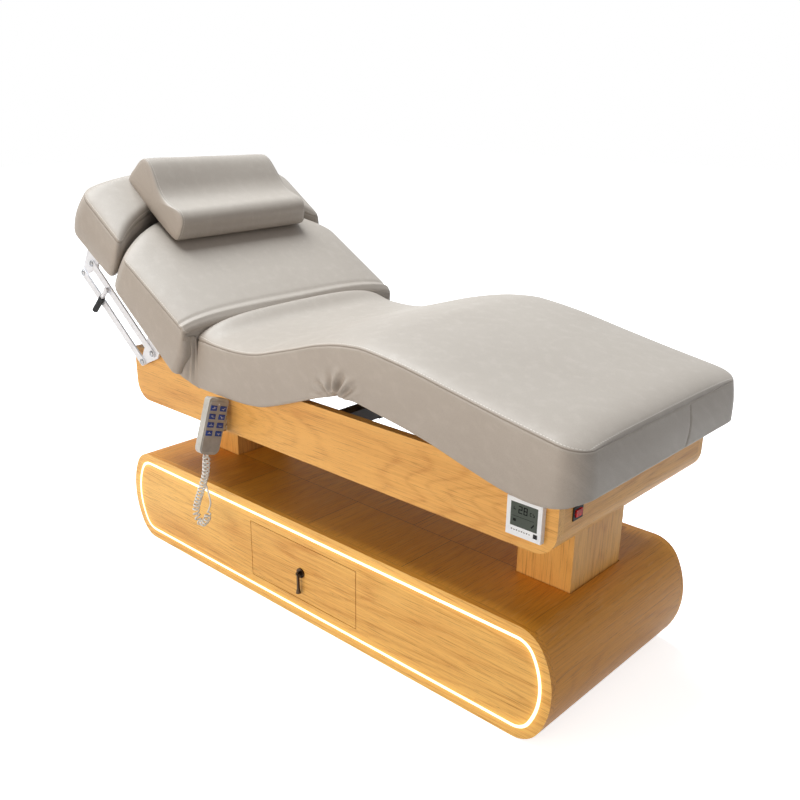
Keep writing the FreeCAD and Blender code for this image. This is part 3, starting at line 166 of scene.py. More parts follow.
def oak(name, order, pale, deep, blocks=None, shift=(0, 0, 0), rim=None, lit=False):
    """Oak veneer with its grain along the first axis in order: cathedral figure, fine lines, open pores.

    blocks lays it in blocks inside a limit along X. rim is a second pair of tones for a panel's narrow edge,
    and lit asks for a painted glow beside the light line: the wood itself emits a little warm light there,
    standing in for the light the strip spills on it.
    """
    material, start, feed = paint(name, Specular_IOR_Level=0.3, Coat_Weight=0.05, Coat_Roughness=0.3)
    axes = start.node("TexCoord", out=3).axes()
    placed = [axes[each] + move for each, move in zip(order, shift)]
    place = start.node("CombineXYZ", inputs=dict(enumerate(placed)))
    if blocks:
        along, across = blocks["shift"]
        flat = start.node("CombineXYZ", inputs={0: axes[0] + along, 1: axes[1] + across})
        laid = {"offset": 0.37, "squash": 0.8, "squash_frequency": 3}
        bricks = {"Vector": flat, "Color1": (0, 0, 0, 1), "Color2": (1, 1, 1, 1),
                  "Mortar": (0.2, 0.2, 0.2, 1), "Scale": 1.0, "Mortar Size": blocks["joint"],
                  "Brick Width": blocks["length"], "Row Height": blocks["width"]}
        inside = (blocks["limit"] - start.sum("ABSOLUTE", axes[0])).span(0.0, 0.002)
        tint = start.node("TexBrick", laid, bricks) * inside + (1.0 - inside) * 0.35
        joint = start.node("TexBrick", laid, bricks, 1) * inside
        moved = {0: placed[0] + tint * 3.1, 1: placed[1] + tint * 1.7, 2: placed[2]}
        place = start.node("CombineXYZ", inputs=moved)
    bend = place.scaled(1.1, 5.5, 5.5).noise(1.0, 2.0)
    figure = place.scaled(0.7, 6.5, 6.5).noise(1.0, 1.0, 0.4, 0.3)
    rings = start.sum("POWER", start.sum("SINE", figure * 150.0 + bend * 9.0) * 0.5 + 0.5, 4.0)
    fine = place.scaled(3.5, 260, 260).noise(1.0, 3.0, 0.6)
    streak = place.scaled(5.0, 280, 280).noise(1.0, 2.0, 0.6)
    pores = place.scaled(34, 1050, 1050).noise(1.0, 2.0, 0.55).span(0.60, 0.70)
    fleck = place.scaled(16, 170, 170).noise(1.0, 1.0).span(0.60, 0.74)
    dash = place.scaled(9, 400, 400).noise(1.0, 1.0, 0.5, 0.2).span(0.58, 0.70)
    wash = place.scaled(0.6, 2.2, 2.2).noise(1.0, 3.0)
    plain = place.scaled(1.4, 8, 8).noise(1.0, 2.0).span(0.35, 0.65)
    if blocks:
        depth = rings * 0.10 + fine * 0.30 + streak * 0.34 + wash * 0.30 + tint * 0.72 - 0.32
    else:
        depth = rings * 0.20 + fine * 0.50 + streak * (0.22 + plain * 0.52) + wash * 0.25 - 0.36
    if rim:
        face = start.sum("ABSOLUTE", start.node("NewGeometry", out=1).axes()[1]).span(0.4, 0.7)
        pale = face.between(rim[0], pale)
        deep = face.between(rim[1], deep)
    tone = depth.span(0.0, 1.0).between(pale, deep)
    tone = (fleck * 0.12).between(tone, colour(240, 196, 132))
    tone = (pores * (0.34 + rings * 0.26)).between(tone, colour(132, 80, 30))
    tone = (dash * (0.20 + bend * 0.5)).between(tone, colour(158, 96, 34))
    if blocks:
        tone = (joint * 0.6).between(tone, colour(84, 48, 18))
    feed(Base_Color=tone, Roughness=0.42 + fine * 0.10 + pores * 0.14,
         Normal=(fine * 0.4 - pores).bump(0.16, 0.0006))
    # Painted glow: the panel's wood emits warm light that fades with distance from the light line, standing
    # in for the light the strip spills on it.
    if lit:
        line_low, line_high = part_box("light_strip")
        line_half = 0.004
        end_radius = 0.180
        corner_blend = 0.06
        painted_spill_fade = 110.0
        half_height = (line_high[2] - line_low[2]) / 2 - line_half
        turn = (line_high[0] - line_low[0]) / 2 - line_half - end_radius
        along = start.sum("MAXIMUM", start.sum("ABSOLUTE", axes[0]) - turn, 0.0)
        up = axes[2] - (line_high[2] + line_low[2]) / 2
        bend_off = start.sum("SQRT", along * along + up * up) - end_radius
        off = start.sum("SMOOTH_MAX", bend_off, start.sum("ABSOLUTE", up) - half_height, corner_blend)
        painted_spill = start.sum("EXPONENT", start.sum("ABSOLUTE", off) * -painted_spill_fade) * face
        feed(Emission_Color=painted_spill.between((0, 0, 0, 1), colour(255, 190, 84)), Emission_Strength=0.5)
    return material


panel_edge = 0.0012
oak_tones = colour(255, 205, 116), colour(208, 138, 58)
shell_tones = colour(240, 167, 58), colour(186, 111, 24)
top_blocks = {"length": 0.42, "width": 0.1917, "joint": 0.0010, "shift": (0.2, 0.2875), "limit": 0.635}
dress(oak("oak_front", (0, 2, 1), *oak_tones, rim=shell_tones, lit=True), "base_front_panel")
dress(oak("oak_rear", (0, 2, 1), *oak_tones, shift=(0.7, 0.3, 0), rim=shell_tones), "base_rear_panel")
dress(oak("oak_shell", (1, 0, 2), *shell_tones, blocks=top_blocks), "base_shell")
ease(["base_front_panel", "base_rear_panel", "base_shell"], panel_edge)


def glow():
    """The light line's diffuser: warm, with a faint beading from the lamps behind it."""
    material, start, feed = paint("light_strip", Roughness=0.4, Emission_Strength=1.5)
    beads = start.node("TexCoord", out=3).scaled(60, 60, 60).noise(1.0, 1.0)
    feed(Base_Color=beads.between(colour(255, 244, 226), colour(250, 236, 214)),
         Emission_Color=beads.between(colour(255, 226, 170), colour(255, 236, 190)))
    return material


dress(glow(), "light_strip")


def steel(name, pale, dark, metal, rough):
    """Painted or plated steel: a skin with faint ripple, rubbed patches and fine scratches."""
    material, start, feed = paint(name, Metallic=metal)
    place = start.node("TexCoord", out=3)
    ripple = place.noise(540.0, 2.0)
    rubbed = place.noise(31.5, 4.0, 0.6)
    scratch = place.scaled(40, 900, 900).noise(1.0, 2.0).span(0.62, 0.75)
    feed(Base_Color=(rubbed * 0.8 + scratch * 0.2).span(0.3, 0.8).between(pale, dark),
         Roughness=rough + rubbed * 0.12 + scratch * 0.08, Normal=ripple.bump(0.06, 0.0004))
    return material


dark_steel = steel("dark_steel", colour(62, 62, 64), colour(40, 40, 42), 0.35, 0.42)
bright_steel = steel("bright_steel", colour(202, 203, 206), colour(160, 162, 166), 0.95, 0.22)
dress(dark_steel, "lift_columns_outer")
dress(bright_steel, "drawer_runners_fixed")

# Drawer: an oak-veneered front on a birch plywood box, hung on plated steel runners.
# Its pull is a turned drop on a round rose, in aged bronze, screwed through the front.
# The front's grain follows on from the panel round it.

drawer_edge = 0.001
dress(oak("oak_drawer", (0, 2, 1), *oak_tones, shift=(0.013, 0, 0)), "drawer_front")
ease(["drawer_front"], drawer_edge)


def birch():
    """Bare birch plywood, streaked upright."""
    material, start, feed = paint("birch_ply", Roughness=0.6)
    streak = start.node("TexCoord", out=3).scaled(9, 9, 90).noise(1.0, 4.0)
    feed(Base_Color=streak.span(0.3, 0.7).between(colour(206, 176, 132), colour(178, 142, 98)),
         Roughness=0.55 + streak * 0.2, Normal=streak.bump(0.1, 0.0005))
    return material


ply = birch()
dress(ply, "drawer_cheeks", "drawer_box")
dress(bright_steel, "drawer_runners_moving")
bronze = steel("aged_bronze", colour(74, 58, 42), colour(34, 26, 19), 0.9, 0.24)
dress(bronze, "pull_rose", "pull_drop")

# Upper frame: an oak apron with rounded lower corners on two oak-clad lift columns.
# Rails and column sleeves are veneered boards, mitred and glued.
# A welded steel subframe inside carries the seat's plywood board and the hinge pins.

rail_tones = colour(243, 186, 102), colour(204, 138, 62)
end_tones = colour(236, 176, 92), colour(192, 126, 52)
sleeve_tones = colour(240, 182, 98), colour(200, 134, 58)
dress(oak("oak_rails", (0, 2, 1), *rail_tones, shift=(0.31, 0.11, 0)), "side_rails")
dress(oak("oak_ends", (1, 2, 0), *end_tones, shift=(0.2, 0.43, 0)), "end_rails")
dress(oak("oak_sleeves", (2, 0, 1), *sleeve_tones), "column_sleeves")
ease(["side_rails", "end_rails", "column_sleeves"], panel_edge)
dress(dark_steel, "lift_columns_inner", "subframe")
dress(bright_steel, "hinge_pins")
dress(ply, "seat_board")

# Seat and leg rest: one upholstered top over three boards, cut in mid-thigh where it keeps its shape.
# The top panel is crowned foam in grey-beige coated fabric, sewn to a side band along a stitched seam.
# The thigh and leg boards are plywood on steel hinges.

dress(ply, "thigh_board", "leg_board")
dress(dark_steel, "thigh_hinges", "leg_hinges")


def leather(name, pale, deep):
    """Coated fabric: a pebbled grain, a faint change of tone, worn spots, stitches beside the seam painted
    paler than the fabric for the light they catch, and a line of painted shade along the seam's crease.
    """
    stitch_pitch = 0.0076
    stitch_off = 0.0046
    thread_half = 0.0011
    seam_half = 0.0011
    material, start, feed = paint(name, Specular_IOR_Level=0.42, Coat_Weight=0.05, Coat_Roughness=0.34)
    place = start.node("UVMap", {"uv_map": "plan"})
    grain = place.node("TexVoronoi", {"feature": "DISTANCE_TO_EDGE"}, {"Vector": place, "Scale": 620.0})
    pebble = grain.span(0.0, 0.16)
    fine = place.noise(900.0, 2.0)
    cloud = place.noise(5.0, 3.0)
    broad = place.noise(1.6, 2.0)
    worn = place.noise(34.0, 4.0, 0.6).span(0.45, 0.75)
    run, away, _ = start.node("UVMap", {"uv_map": "seam"}).axes()
    dash = start.sum("FRACT", run / stitch_pitch)
    stitch = (start.sum("ABSOLUTE", dash - 0.5) * -1.0 + 0.36).span(0.0, 0.06)
    row = (thread_half - start.sum("ABSOLUTE", away - stitch_off)).span(0.0, 0.0004)
    stitch_and_highlight = stitch * row
    line = (seam_half - start.sum("ABSOLUTE", away)).span(0.0, 0.0009)
    tone = (cloud * 0.6 + broad * 0.6 - 0.1).span(0.0, 1.0).between(pale, deep)
    tone = (worn * 0.10).between(tone, colour(216, 208, 199))
    tone = ((1.0 - pebble) * 0.16).between(tone, colour(108, 98, 90))
    # Painted shade: a dark line along the seam, where shade falls in its crease.
    tone = (line * 0.25).between(tone, colour(96, 86, 78))
    # Painted highlight: the stitches are painted near white for the light they catch.
    tone = (stitch_and_highlight * 0.5).between(tone, colour(232, 226, 218))
    feed(Base_Color=tone, Roughness=0.44 + cloud * 0.10 + (1.0 - pebble) * 0.08 - worn * 0.05,
         Normal=(stitch_and_highlight * 0.8 - line).bump(0.5, 0.0008, (pebble * 0.6 + fine * 0.4).bump(0.10, 0.0004)))
    return material


hide = leather("upholstery", colour(177, 168, 158), colour(168, 158, 148))


def clamp(value):
    return min(1.0, max(0.0, value))


def sign(value):
    return 1 if value > 0 else -1


def hump(off, width):
    """A smooth swelling's height at a distance off its middle, where it is one."""
    return exp(-(off / width) ** 2)


def cubic(t):
    """The weights of a smooth step between two points: the first, its slope, the second, its slope."""
    return 2 * t ** 3 - 3 * t ** 2 + 1, t ** 3 - 2 * t ** 2 + t, 3 * t ** 2 - 2 * t ** 3, t ** 3 - t ** 2


def through(points):
    """A smooth curve through points: its height at any place along it."""
    slopes = []
    for i in range(len(points)):
        before = points[max(i - 1, 0)]
        after = points[min(i + 1, len(points) - 1)]
        slopes.append((after[1] - before[1]) / (after[0] - before[0]))

    def height(x):
        x = min(max(x, points[0][0]), points[-1][0])
        i = 0
        while i < len(points) - 2 and x > points[i + 1][0]:
            i += 1
        span = points[i + 1][0] - points[i][0]
        first, leave, second, arrive = cubic((x - points[i][0]) / span)
        return (first * points[i][1] + leave * span * slopes[i] + second * points[i + 1][1]
                + arrive * span * slopes[i + 1])

    return height


def steps(start, stop, pitch):
    """Places from start to stop, both ends in, about a pitch apart."""
    count = max(1, round((stop - start) / pitch))
    return [start + (stop - start) * n / count for n in range(count + 1)]


def clustered(count):
    """Shares from -1 to 1, closer together near the ends."""
    return [sin(pi / 2 * (2 * n / count - 1)) for n in range(count + 1)]


def round_in(start, radius, count=8):
    """Stations over a rounded corner that begins at start, short of its last one."""
    return [start + radius * (1 - cos(pi / 2 * n / count)) for n in range(count)]


def round_out(stop, radius, count=8):
    """Stations over a rounded corner that ends at stop, without its first one."""
    return [stop - radius * (1 - cos(pi / 2 * n / count)) for n in range(count - 1, -1, -1)]


def rounded_half(half, start, stop, first, second):
    """The half width along a block whose corners in plan have one radius at start and another at stop."""
    def width(x):
        if x < start + first:
            part = (start + first - x) / first
            return half - first + first * sqrt(max(0.0, 1 - part * part))
        if x > stop - second:
            part = (x - stop + second) / second
            return half - second + second * sqrt(max(0.0, 1 - part * part))
        return half
    return width


def rim_of(rows, across, half):
    """The seam round a block's top: its cells in order, each one's place, how far round, which way is out."""
    last_row = len(rows) - 1
    last = len(across) - 1
    rim = [(i, 0) for i in range(len(rows))]
    rim += [(last_row, j) for j in range(1, len(across))]
    rim += [(i, last) for i in range(last_row - 1, -1, -1)]
    rim += [(0, j) for j in range(last - 1, 0, -1)]
    flat = {(i, j): (rows[i], across[j] * half(rows[i])) for i, j in rim}
    runs = {}
    outward = {}
    gone = 0.0
    for n, cell in enumerate(rim):
        behind = flat[rim[n - 1]]
        ahead = flat[rim[(n + 1) % len(rim)]]
        if n:
            gone += hypot(flat[cell][0] - behind[0], flat[cell][1] - behind[1])
        runs[cell] = gone
        dx = ahead[0] - behind[0]
        dy = ahead[1] - behind[1]
        size = hypot(dx, dy) or 1.0
        outward[cell] = (dy / size, -dx / size)
    return rim, flat, runs, outward


# Distances on the seam's map: in the hollow, the band's limit, and the move at an end without stitches.
inside = -0.5
band_limit = -0.4
unsewn = 0.05
band_lean = 0.7
cover_wall = 0.032


def block(rows, across, half, seam, low, rise, band, depth, place, shape, power, sewn=True):
    """A padded block: a crowned top from seam to seam, a side band down to a lip, a hollow for its board.

    rows are stations along X and across is a list of shares of the half width. shape moves a point after it
    is laid out, knowing its distance from the seam, which is below nought on the band, and place carries it
    to the part's frame. power rounds the crown. sewn says whether stitches run across the foot end too.
    """
    rim, flat, runs, outward = rim_of(rows, across, half)
    last_row = len(rows) - 1
    last = len(across) - 1
    points = []
    plan = []
    seams = []

    def add(x, y, z, run, away):
        x, y, z = shape(x, y, z, away)
        points.append(place(x, y, z))
        plan.append((x + band_lean * z, y + z) if away < 0 else (x, y))
        seams.append((run, away))
        return len(points) - 1

    top = {}
    for i, x in enumerate(rows):
        for j, share in enumerate(across):
            side = half(x) * (1 - abs(share))
            front = x - rows[0]
            back = rows[-1] - x if sewn else 1.0
            away = min(side, front, back)
            near = (i, 0 if share < 0 else last)
            if away == back:
                near = (last_row, j)
            if away == front:
                near = (0, j)
            z = seam(x) + rise(x) * (1 - abs(share) ** power[0]) ** power[1]
            top[i, j] = add(x, share * half(x), z, runs[near], away)
    rings = []
    for step, out in band:
        ring = {}
        for cell in rim:
            x, y = flat[cell]
            nx, ny = outward[cell]
            down = (low(x) - seam(x)) * step
            away = down if sewn or cell[0] < last_row else down - unsewn
            ring[cell] = add(x + nx * out, y + ny * out, seam(x) + down, runs[cell], away)
        rings.append(ring)
    for lift in (0.0, depth):
        ring = {}
        for cell in rim:
            x, y = flat[cell]
            nx, ny = outward[cell]
            ring[cell] = add(x - nx * cover_wall, y - ny * cover_wall, low(x) + lift, runs[cell], inside)
        rings.append(ring)
    ceiling = dict(rings[-1])
    for i, x in enumerate(rows):
        for j, share in enumerate(across):
            if (i, j) not in ceiling:
                ahead = min(max(x, rows[0] + cover_wall), rows[-1] - cover_wall)
                ceiling[i, j] = add(ahead, (half(x) - cover_wall) * share, low(x) + depth, 0, inside)

    cells = [(i, j) for i in range(last_row) for j in range(last)]
    faces = [(top[i, j], top[i + 1, j], top[i + 1, j + 1], top[i, j + 1]) for i, j in cells]
    for upper, lower in zip([top] + rings, rings):
        for here, after in zip(rim, rim[1:] + rim[:1]):
            faces.append((upper[here], lower[here], lower[after], upper[after]))
    for i, j in cells:
        faces.append((ceiling[i, j], ceiling[i, j + 1], ceiling[i + 1, j + 1], ceiling[i + 1, j]))
    return points, faces, plan, seams


def raise_piece(name, points, faces, material, smooth=True):
    mesh = bpy.data.meshes.new(name)
    mesh.from_pydata(points, [], faces)
    mesh.polygons.foreach_set("use_smooth", [smooth] * len(mesh.polygons))
    mesh.materials.append(material)
    mesh.update()
    made = bpy.data.objects.new(name, mesh)
    bpy.context.scene.collection.objects.link(made)
    return made


def raise_cover(name, points, faces, plan, seams, normals=None):
    """A piece in the upholstery, with maps of its grain and of its seam."""
    made = raise_piece(name, points, faces, hide)
    for label, places in (("plan", plan), ("seam", seams)):
        layer = made.data.uv_layers.new(name=label)
        for corner in made.data.loops:
            layer.data[corner.index].uv = places[corner.vertex_index]
    if normals:
        made.data.normals_split_custom_set_from_vertices(normals)
    return made


def dent(x, z, start, stop, width):
    """How deep a point lies in a crease from start to stop, which widens as it runs and has raised lips."""
    lead = 0.3
    trail = 1.2
    lead_fade = 0.4
    trail_fade = 0.7
    lip_height = 0.55
    lip_off = 2.1
    spread = 0.7
    dx = stop[0] - start[0]
    dz = stop[1] - start[1]
    size = hypot(dx, dz)
    t = ((x - start[0]) * dx + (z - start[1]) * dz) / size ** 2
    off = ((x - start[0]) * dz - (z - start[1]) * dx) / size
    fade = clamp((t + lead) / lead_fade) * clamp((trail - t) / trail_fade)
    grow = width * spread * (1 + max(t, 0.0))
    return fade * (hump(off, grow) - lip_height * hump(abs(off) - lip_off * grow, grow))


seat_seam = through([(-0.345, 0.742), (-0.280, 0.738), (-0.185, 0.737), (-0.103, 0.746), (-0.030, 0.766),
                     (0.049, 0.790), (0.120, 0.812), (0.187, 0.827), (0.240, 0.833), (0.283, 0.834),
                     (0.402, 0.819), (0.540, 0.793), (0.667, 0.769), (0.807, 0.745), (0.860, 0.736)])
seat_low = through([(-0.345, 0.607), (-0.195, 0.605), (-0.120, 0.608), (-0.065, 0.617), (0.080, 0.668),
                    (0.150, 0.694), (0.202, 0.706), (0.255, 0.708), (0.314, 0.700), (0.471, 0.672),
                    (0.599, 0.639), (0.689, 0.618), (0.760, 0.613), (0.815, 0.622), (0.846, 0.636),
                    (0.860, 0.636)])
seat_head = -0.346
seat_foot = 0.846
seat_half = 0.353
seat_head_round = 0.014
seat_foot_round = 0.056
seat_crown = 0.027
seat_foot_fall = 0.11
seat_head_fall = 0.022
seat_depth = 0.040
seat_power = (3.2, 0.5)
crease_lip = 0.027
crease_lip_start = 0.016
crease_lip_width = 0.038
row_pitch = 0.0055
knee_pitch = 0.0028
knee_from = 0.105
knee_to = 0.290
seat_rows = round_in(seat_head, seat_head_round, 4)
seat_rows += steps(seat_head + seat_head_round, knee_from, row_pitch)[:-1]
seat_rows += steps(knee_from, knee_to, knee_pitch)[:-1]
seat_rows += steps(knee_to, seat_foot - seat_foot_round, row_pitch)
seat_rows += round_out(seat_foot, seat_foot_round, 12)


def seat_rise(x):
    """The crown's height: falling to the seam at both ends, with a lip that hides the crease."""
    foot = max(0.0, (x - seat_foot + seat_foot_fall) / seat_foot_fall)
    head = max(0.0, (seat_head + seat_head_fall - x) / seat_head_fall)
    lip = crease_lip * hump(max(0.0, x - seat_head - crease_lip_start), crease_lip_width)
    return (seat_crown + lip) * sqrt(max(0.0, 1 - foot ** 3.2)) * sqrt(max(0.0, 1 - 0.6 * head ** 2.6))


# Each crease under the knee: where it starts and stops along X and Z, its depth and its width.
knee_creases = [((0.186, 0.705), (0.140, 0.730), 0.0120, 0.0062),
                ((0.196, 0.706), (0.226, 0.766), 0.0125, 0.0065),
                ((0.206, 0.706), (0.266, 0.750), 0.0080, 0.0060),
                ((0.180, 0.702), (0.124, 0.708), 0.0080, 0.0055),
                ((0.191, 0.706), (0.180, 0.764), 0.0060, 0.0060)]
gather_x = 0.193
gather_z = 0.704
gather_width = 0.010
gather_height = 0.012
gather_depth = 0.012
lap_bend = -0.085
lap_width = 0.02
lap_dent = 0.0016
foot_fold = 0.0026
foot_fold_y = 0.088
foot_fold_width = 0.0035
foot_fold_turn = 0.026
foot_fold_turn_z = 0.69
foot_fold_turn_drop = 0.07
below_seam = -0.002
below_foot_seam = -0.004
foot_face = seat_foot - 0.002
side_face = 0.3
softness = 0.0012
band_softness = 0.0010
soft_edge = 0.04


def seat_shape(x, y, z, away):
    """Creases gathered on the side band under the knee, a dent at the lap, a fold on the foot band."""
    soft = noise.noise(Vector((x * 6, y * 6, z * 6)))
    if band_limit < away < below_seam and abs(y) > side_face:
        pull = sum(depth * dent(x, z, start, stop, width) for start, stop, depth, width in knee_creases)
        pull += gather_depth * hump(x - gather_x, gather_width) * hump(z - gather_z, gather_height)
        y -= (pull - band_softness * soft) * sign(y)
    elif away >= 0:
        fade = min(1.0, away / soft_edge)
        z += softness * soft * fade
        z -= lap_dent * fade * hump(x - lap_bend, lap_width) * (0.6 + 0.4 * sin(y * 19))
    if x > foot_face and band_limit < away < below_foot_seam:
        turn = max(0.0, foot_fold_turn_z - z) / foot_fold_turn_drop
        x -= foot_fold * hump(y - foot_fold_y + foot_fold_turn * turn ** 2, foot_fold_width)
    return x, y, z


fold_from = 0.055
fold_pitch = 0.0025
fold_columns = {(fold_from + fold_pitch * n) / (seat_half - seat_foot_round) for n in range(18)}
seat_across = sorted(set(clustered(44)) | fold_columns)

# The band in section: how far down it, as a share of its height, and how far out from the seam.
seam_swell = 0.0018
band_swell = 0.0072
band_start = 0.03
band_share = 0.93
band_steps = 28
band_full = 19
side_band = [(0.006, -0.0010), (0.014, 0.0006), (band_start, seam_swell)]
for n in range(1, band_steps + 1):
    full = sin(pi / 2 * min(1.0, n / band_full))
    side_band.append((band_start + band_share * n / band_steps, seam_swell + band_swell * full))
side_band += [(0.985, band_swell), (1.0, 0.002)]


def level(x, y, z):
    return (x, y, z)


seat_data = block(seat_rows, seat_across,
                  rounded_half(seat_half, seat_head, seat_foot, seat_head_round, seat_foot_round),
                  seat_seam, seat_low, seat_rise, side_band, seat_depth, level, seat_shape, seat_power)


def cut_cover(name, data, keep):
    """One part of a cover, with the whole cover's normals, so the cut doesn't show."""
    points, faces, plan, seams = data
    whole = bpy.data.meshes.new(name + "_whole")
    whole.from_pydata(points, [], faces)
    whole.update()
    normals = [tuple(each.vector) for each in whole.vertex_normals]
    bpy.data.meshes.remove(whole)
    chosen = [face for face in faces if keep(sum(points[each][0] for each in face) / len(face))]
    used = sorted({each for face in chosen for each in face})
    index = {old: new for new, old in enumerate(used)}
    moved = [tuple(index[each] for each in face) for face in chosen]
    points, plan, seams, normals = ([row[each] for each in used] for row in (points, plan, seams, normals))
    return raise_cover(name, points, moved, plan, seams, normals)


thigh_cut = 0.085
cut_row = min(seat_rows, key=lambda x: abs(x - thigh_cut))
seat_cover = cut_cover("seat_cover", seat_data, lambda x: x < cut_row)
leg_cover = cut_cover("leg_cover", seat_data, lambda x: x >= cut_row)
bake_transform(seat_cover)
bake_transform(leg_cover)
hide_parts("seat_cushion", "thigh_cushion")
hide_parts("leg_cushion")

# Backrest: the same coated fabric over foam on a plywood board, which a steel frame carries.
# It is flatter than the seat, with a firmer edge, and its head end is arched.
# Its lower end rolls against the seat in a deep crease.

dress(ply, "back_board")
dress(dark_steel, "back_frame")
back_pivot = Vector((-0.310, 0, 0.640))
back_lean = radians(30.5)
back_turn = (Matrix.Translation(back_pivot) @ Matrix.Rotation(back_lean, 4, "Y")
             @ Matrix.Translation(-back_pivot))


def tilted(x, y, z):
    """Carries a point of the backrest from its lying frame, in which it is drawn, to its place at rest."""
    return tuple(back_turn @ Vector((x, y, z)))


back_head = -0.700
back_end = -0.384
back_half = 0.398
back_top = 0.738
back_bottom = 0.606
back_bottom_rise = 0.034
back_crown = 0.024
back_power = (5.0, 0.5)
back_depth = 0.040
back_head_round = 0.016
back_end_round = 0.012
back_head_fall = 0.05
back_end_fall = 0.020
back_end_share = 0.4
back_tuck = 0.018
back_tuck_from = 0.675
back_tuck_height = 0.07
back_roll = 0.09
back_drop = 0.006
back_drop_reach = 0.030
back_arch_half = 0.407
arch_rise = 0.182
near_corner = 0.004
far_corner = 0.026
ridge_off = 0.020
ridge_wave = 0.004
ridge_height = 0.0024
ridge_width = 0.0055
furrow_off = 0.014
furrow_depth = 0.0020
furrow_width = 0.006
seam_hair = 0.0005


def fall(start, stop, head, foot, crown, deep=1.0):
    """A crown's height along a block: full in the middle, and falling over a length at each end."""
    def rise(x):
        a = max(0.0, (start + head - x) / head)
        b = max(0.0, (x - stop + foot) / foot)
        return crown * sqrt(max(0.0, 1 - a ** 3)) * sqrt(max(0.0, 1 - deep * b ** 3))
    return rise


def bowed(y, half, rise):
    """How far an arc stands out at y, when it rises so much over a chord of twice the half width."""
    radius = (half * half + rise * rise) / (2 * rise)
    return sqrt(max(0.0, radius * radius - y * y)) - radius + rise


def back_shape(x, y, z, away):
    """A fold along the crease, a top edge drawn back, corners reaching forward, and an arched head end."""
    soft = noise.noise(Vector((x * 5 + 3, y * 5, z * 5)))
    if away >= -seam_hair:
        z += softness * soft * min(1.0, away / soft_edge)
        ridge = back_end - ridge_off + ridge_wave * sin(y * 7 + 1)
        z += ridge_height * hump(x - ridge, ridge_width)
        z -= furrow_depth * hump(x - ridge + furrow_off, furrow_width)
    elif away > band_limit:
        y += band_softness * soft * sign(y)
    forward = clamp((x - back_end + back_roll) / back_roll)
    upward = clamp((z - back_tuck_from) / back_tuck_height)
    share = (back_end - x) / (back_end - back_head)
    x -= back_tuck * forward ** 2 * upward * upward * (3 - 2 * upward)
    x += (far_corner if y > 0 else near_corner) * forward * (abs(y) / back_half) ** 3
    x -= max(0.0, share) * bowed(y, back_arch_half, arch_rise)
    return x, y, z


def back_seam(x):
    """Level along the side, and turned down at the lower end, where the top rolls into the crease."""
    return back_top - back_drop * clamp((x - back_end + back_drop_reach) / back_drop_reach) ** 2


def back_low(x):
    return back_bottom + back_bottom_rise * (back_end - x) / (back_end - back_head)


coarse_pitch = 0.011
crease_pitch = 0.003
crease_reach = 0.06
crease_from = back_end - crease_reach
crease_gap = 0.0001
back_rows = round_in(back_head, back_head_round)
back_rows += steps(back_head + back_head_round, crease_from - crease_gap, coarse_pitch)
back_rows += steps(crease_from + crease_gap, back_end - back_end_round, crease_pitch)
back_rows += round_out(back_end, back_end_round)
back_data = block(back_rows, clustered(40),
                  rounded_half(back_half, back_head, back_end, back_head_round, back_end_round),
                  back_seam, back_low,
                  fall(back_head, back_end, back_head_fall, back_end_fall, back_crown, back_end_share),
                  side_band, back_depth, tilted, back_shape, back_power, sewn=False)
back_cover = raise_cover("back_cover", *back_data)
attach(back_cover, "backrest")
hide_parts("back_cushion")

# Gussets: the slack cover between backrest and seat, gathered in upright folds at both sides.
# Each is a thin doubled piece of the same fabric, sewn to both bands.

gusset_across = 40
gusset_up = 22
gusset_cloth = 0.004
gusset_folds = 3.2
gusset_fold = 0.0062
gusset_fold_lean = 0.35
gusset_crimps = 5.1
gusset_crimp_share = 0.5
gusset_crimp_lean = -0.5
gusset_sink = 0.005
gusset_sag = 0.006
gusset_off_seam = -0.2
back_edge = Vector((-0.396, 0.400, 0.610))
back_edge_rise = Vector((0.004, 0, 0.122))
seat_edge = Vector((-0.335, 0.361, 0.607))
seat_edge_rise = Vector((0, 0, 0.143))
gusset_points = []
gusset_faces = []
gusset_plan = []
gusset_seams = []
row_size = gusset_across + 1
layer_size = row_size * (gusset_up + 1)
gusset_rim = list(range(row_size)) + [k * row_size + gusset_across for k in range(1, gusset_up + 1)]
gusset_rim += [gusset_up * row_size + n for n in range(gusset_across - 1, -1, -1)]
gusset_rim += [k * row_size for k in range(gusset_up - 1, 0, -1)]
for side in (-1, 1):
    first = len(gusset_points)
    for skin in (0.0, gusset_cloth):
        for k in range(gusset_up + 1):
            v = k / gusset_up
            held = Vector(tilted(*(back_edge + back_edge_rise * v)))
            sewn = seat_edge + seat_edge_rise * v
            for n in range(row_size):
                u = n / gusset_across
                at = held.lerp(sewn, u)
                fold = sin(2 * pi * (gusset_folds * u + gusset_fold_lean * v)) * (0.1 + 0.9 * v)
                crimp = sin(2 * pi * (gusset_crimps * u + gusset_crimp_lean * v))
                fold += gusset_crimp_share * v * crimp
                out = sin(pi * u) ** 0.7 * (gusset_fold * fold - gusset_sink) - skin
                drop = gusset_sag * sin(pi * u) * (1 - v)
                gusset_points.append((at.x, side * (at.y + out), at.z - drop))
                gusset_plan.append((at.x, at.z))
                gusset_seams.append((at.z, gusset_off_seam))
    made = []
    for k in range(gusset_up):
        for n in range(gusset_across):
            here = first + k * row_size + n
            quad = (here, here + 1, here + row_size + 1, here + row_size)
            made += [quad, tuple(each + layer_size for each in quad[::-1])]
    for here, there in zip(gusset_rim, gusset_rim[1:] + gusset_rim[:1]):
        made.append((first + there, first + here, first + here + layer_size, first + there + layer_size))
    gusset_faces += made if side < 0 else [each[::-1] for each in made]
gussets = raise_cover("gussets", gusset_points, gusset_faces, gusset_plan, gusset_seams)
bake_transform(gussets)

# Headrest: a thick rounded pad of the same fabric over foam, fuller at the head, on a plywood board.
# Its band is sewn on with a stitched seam, and its foot end is hollowed to sit round the backrest's arch.

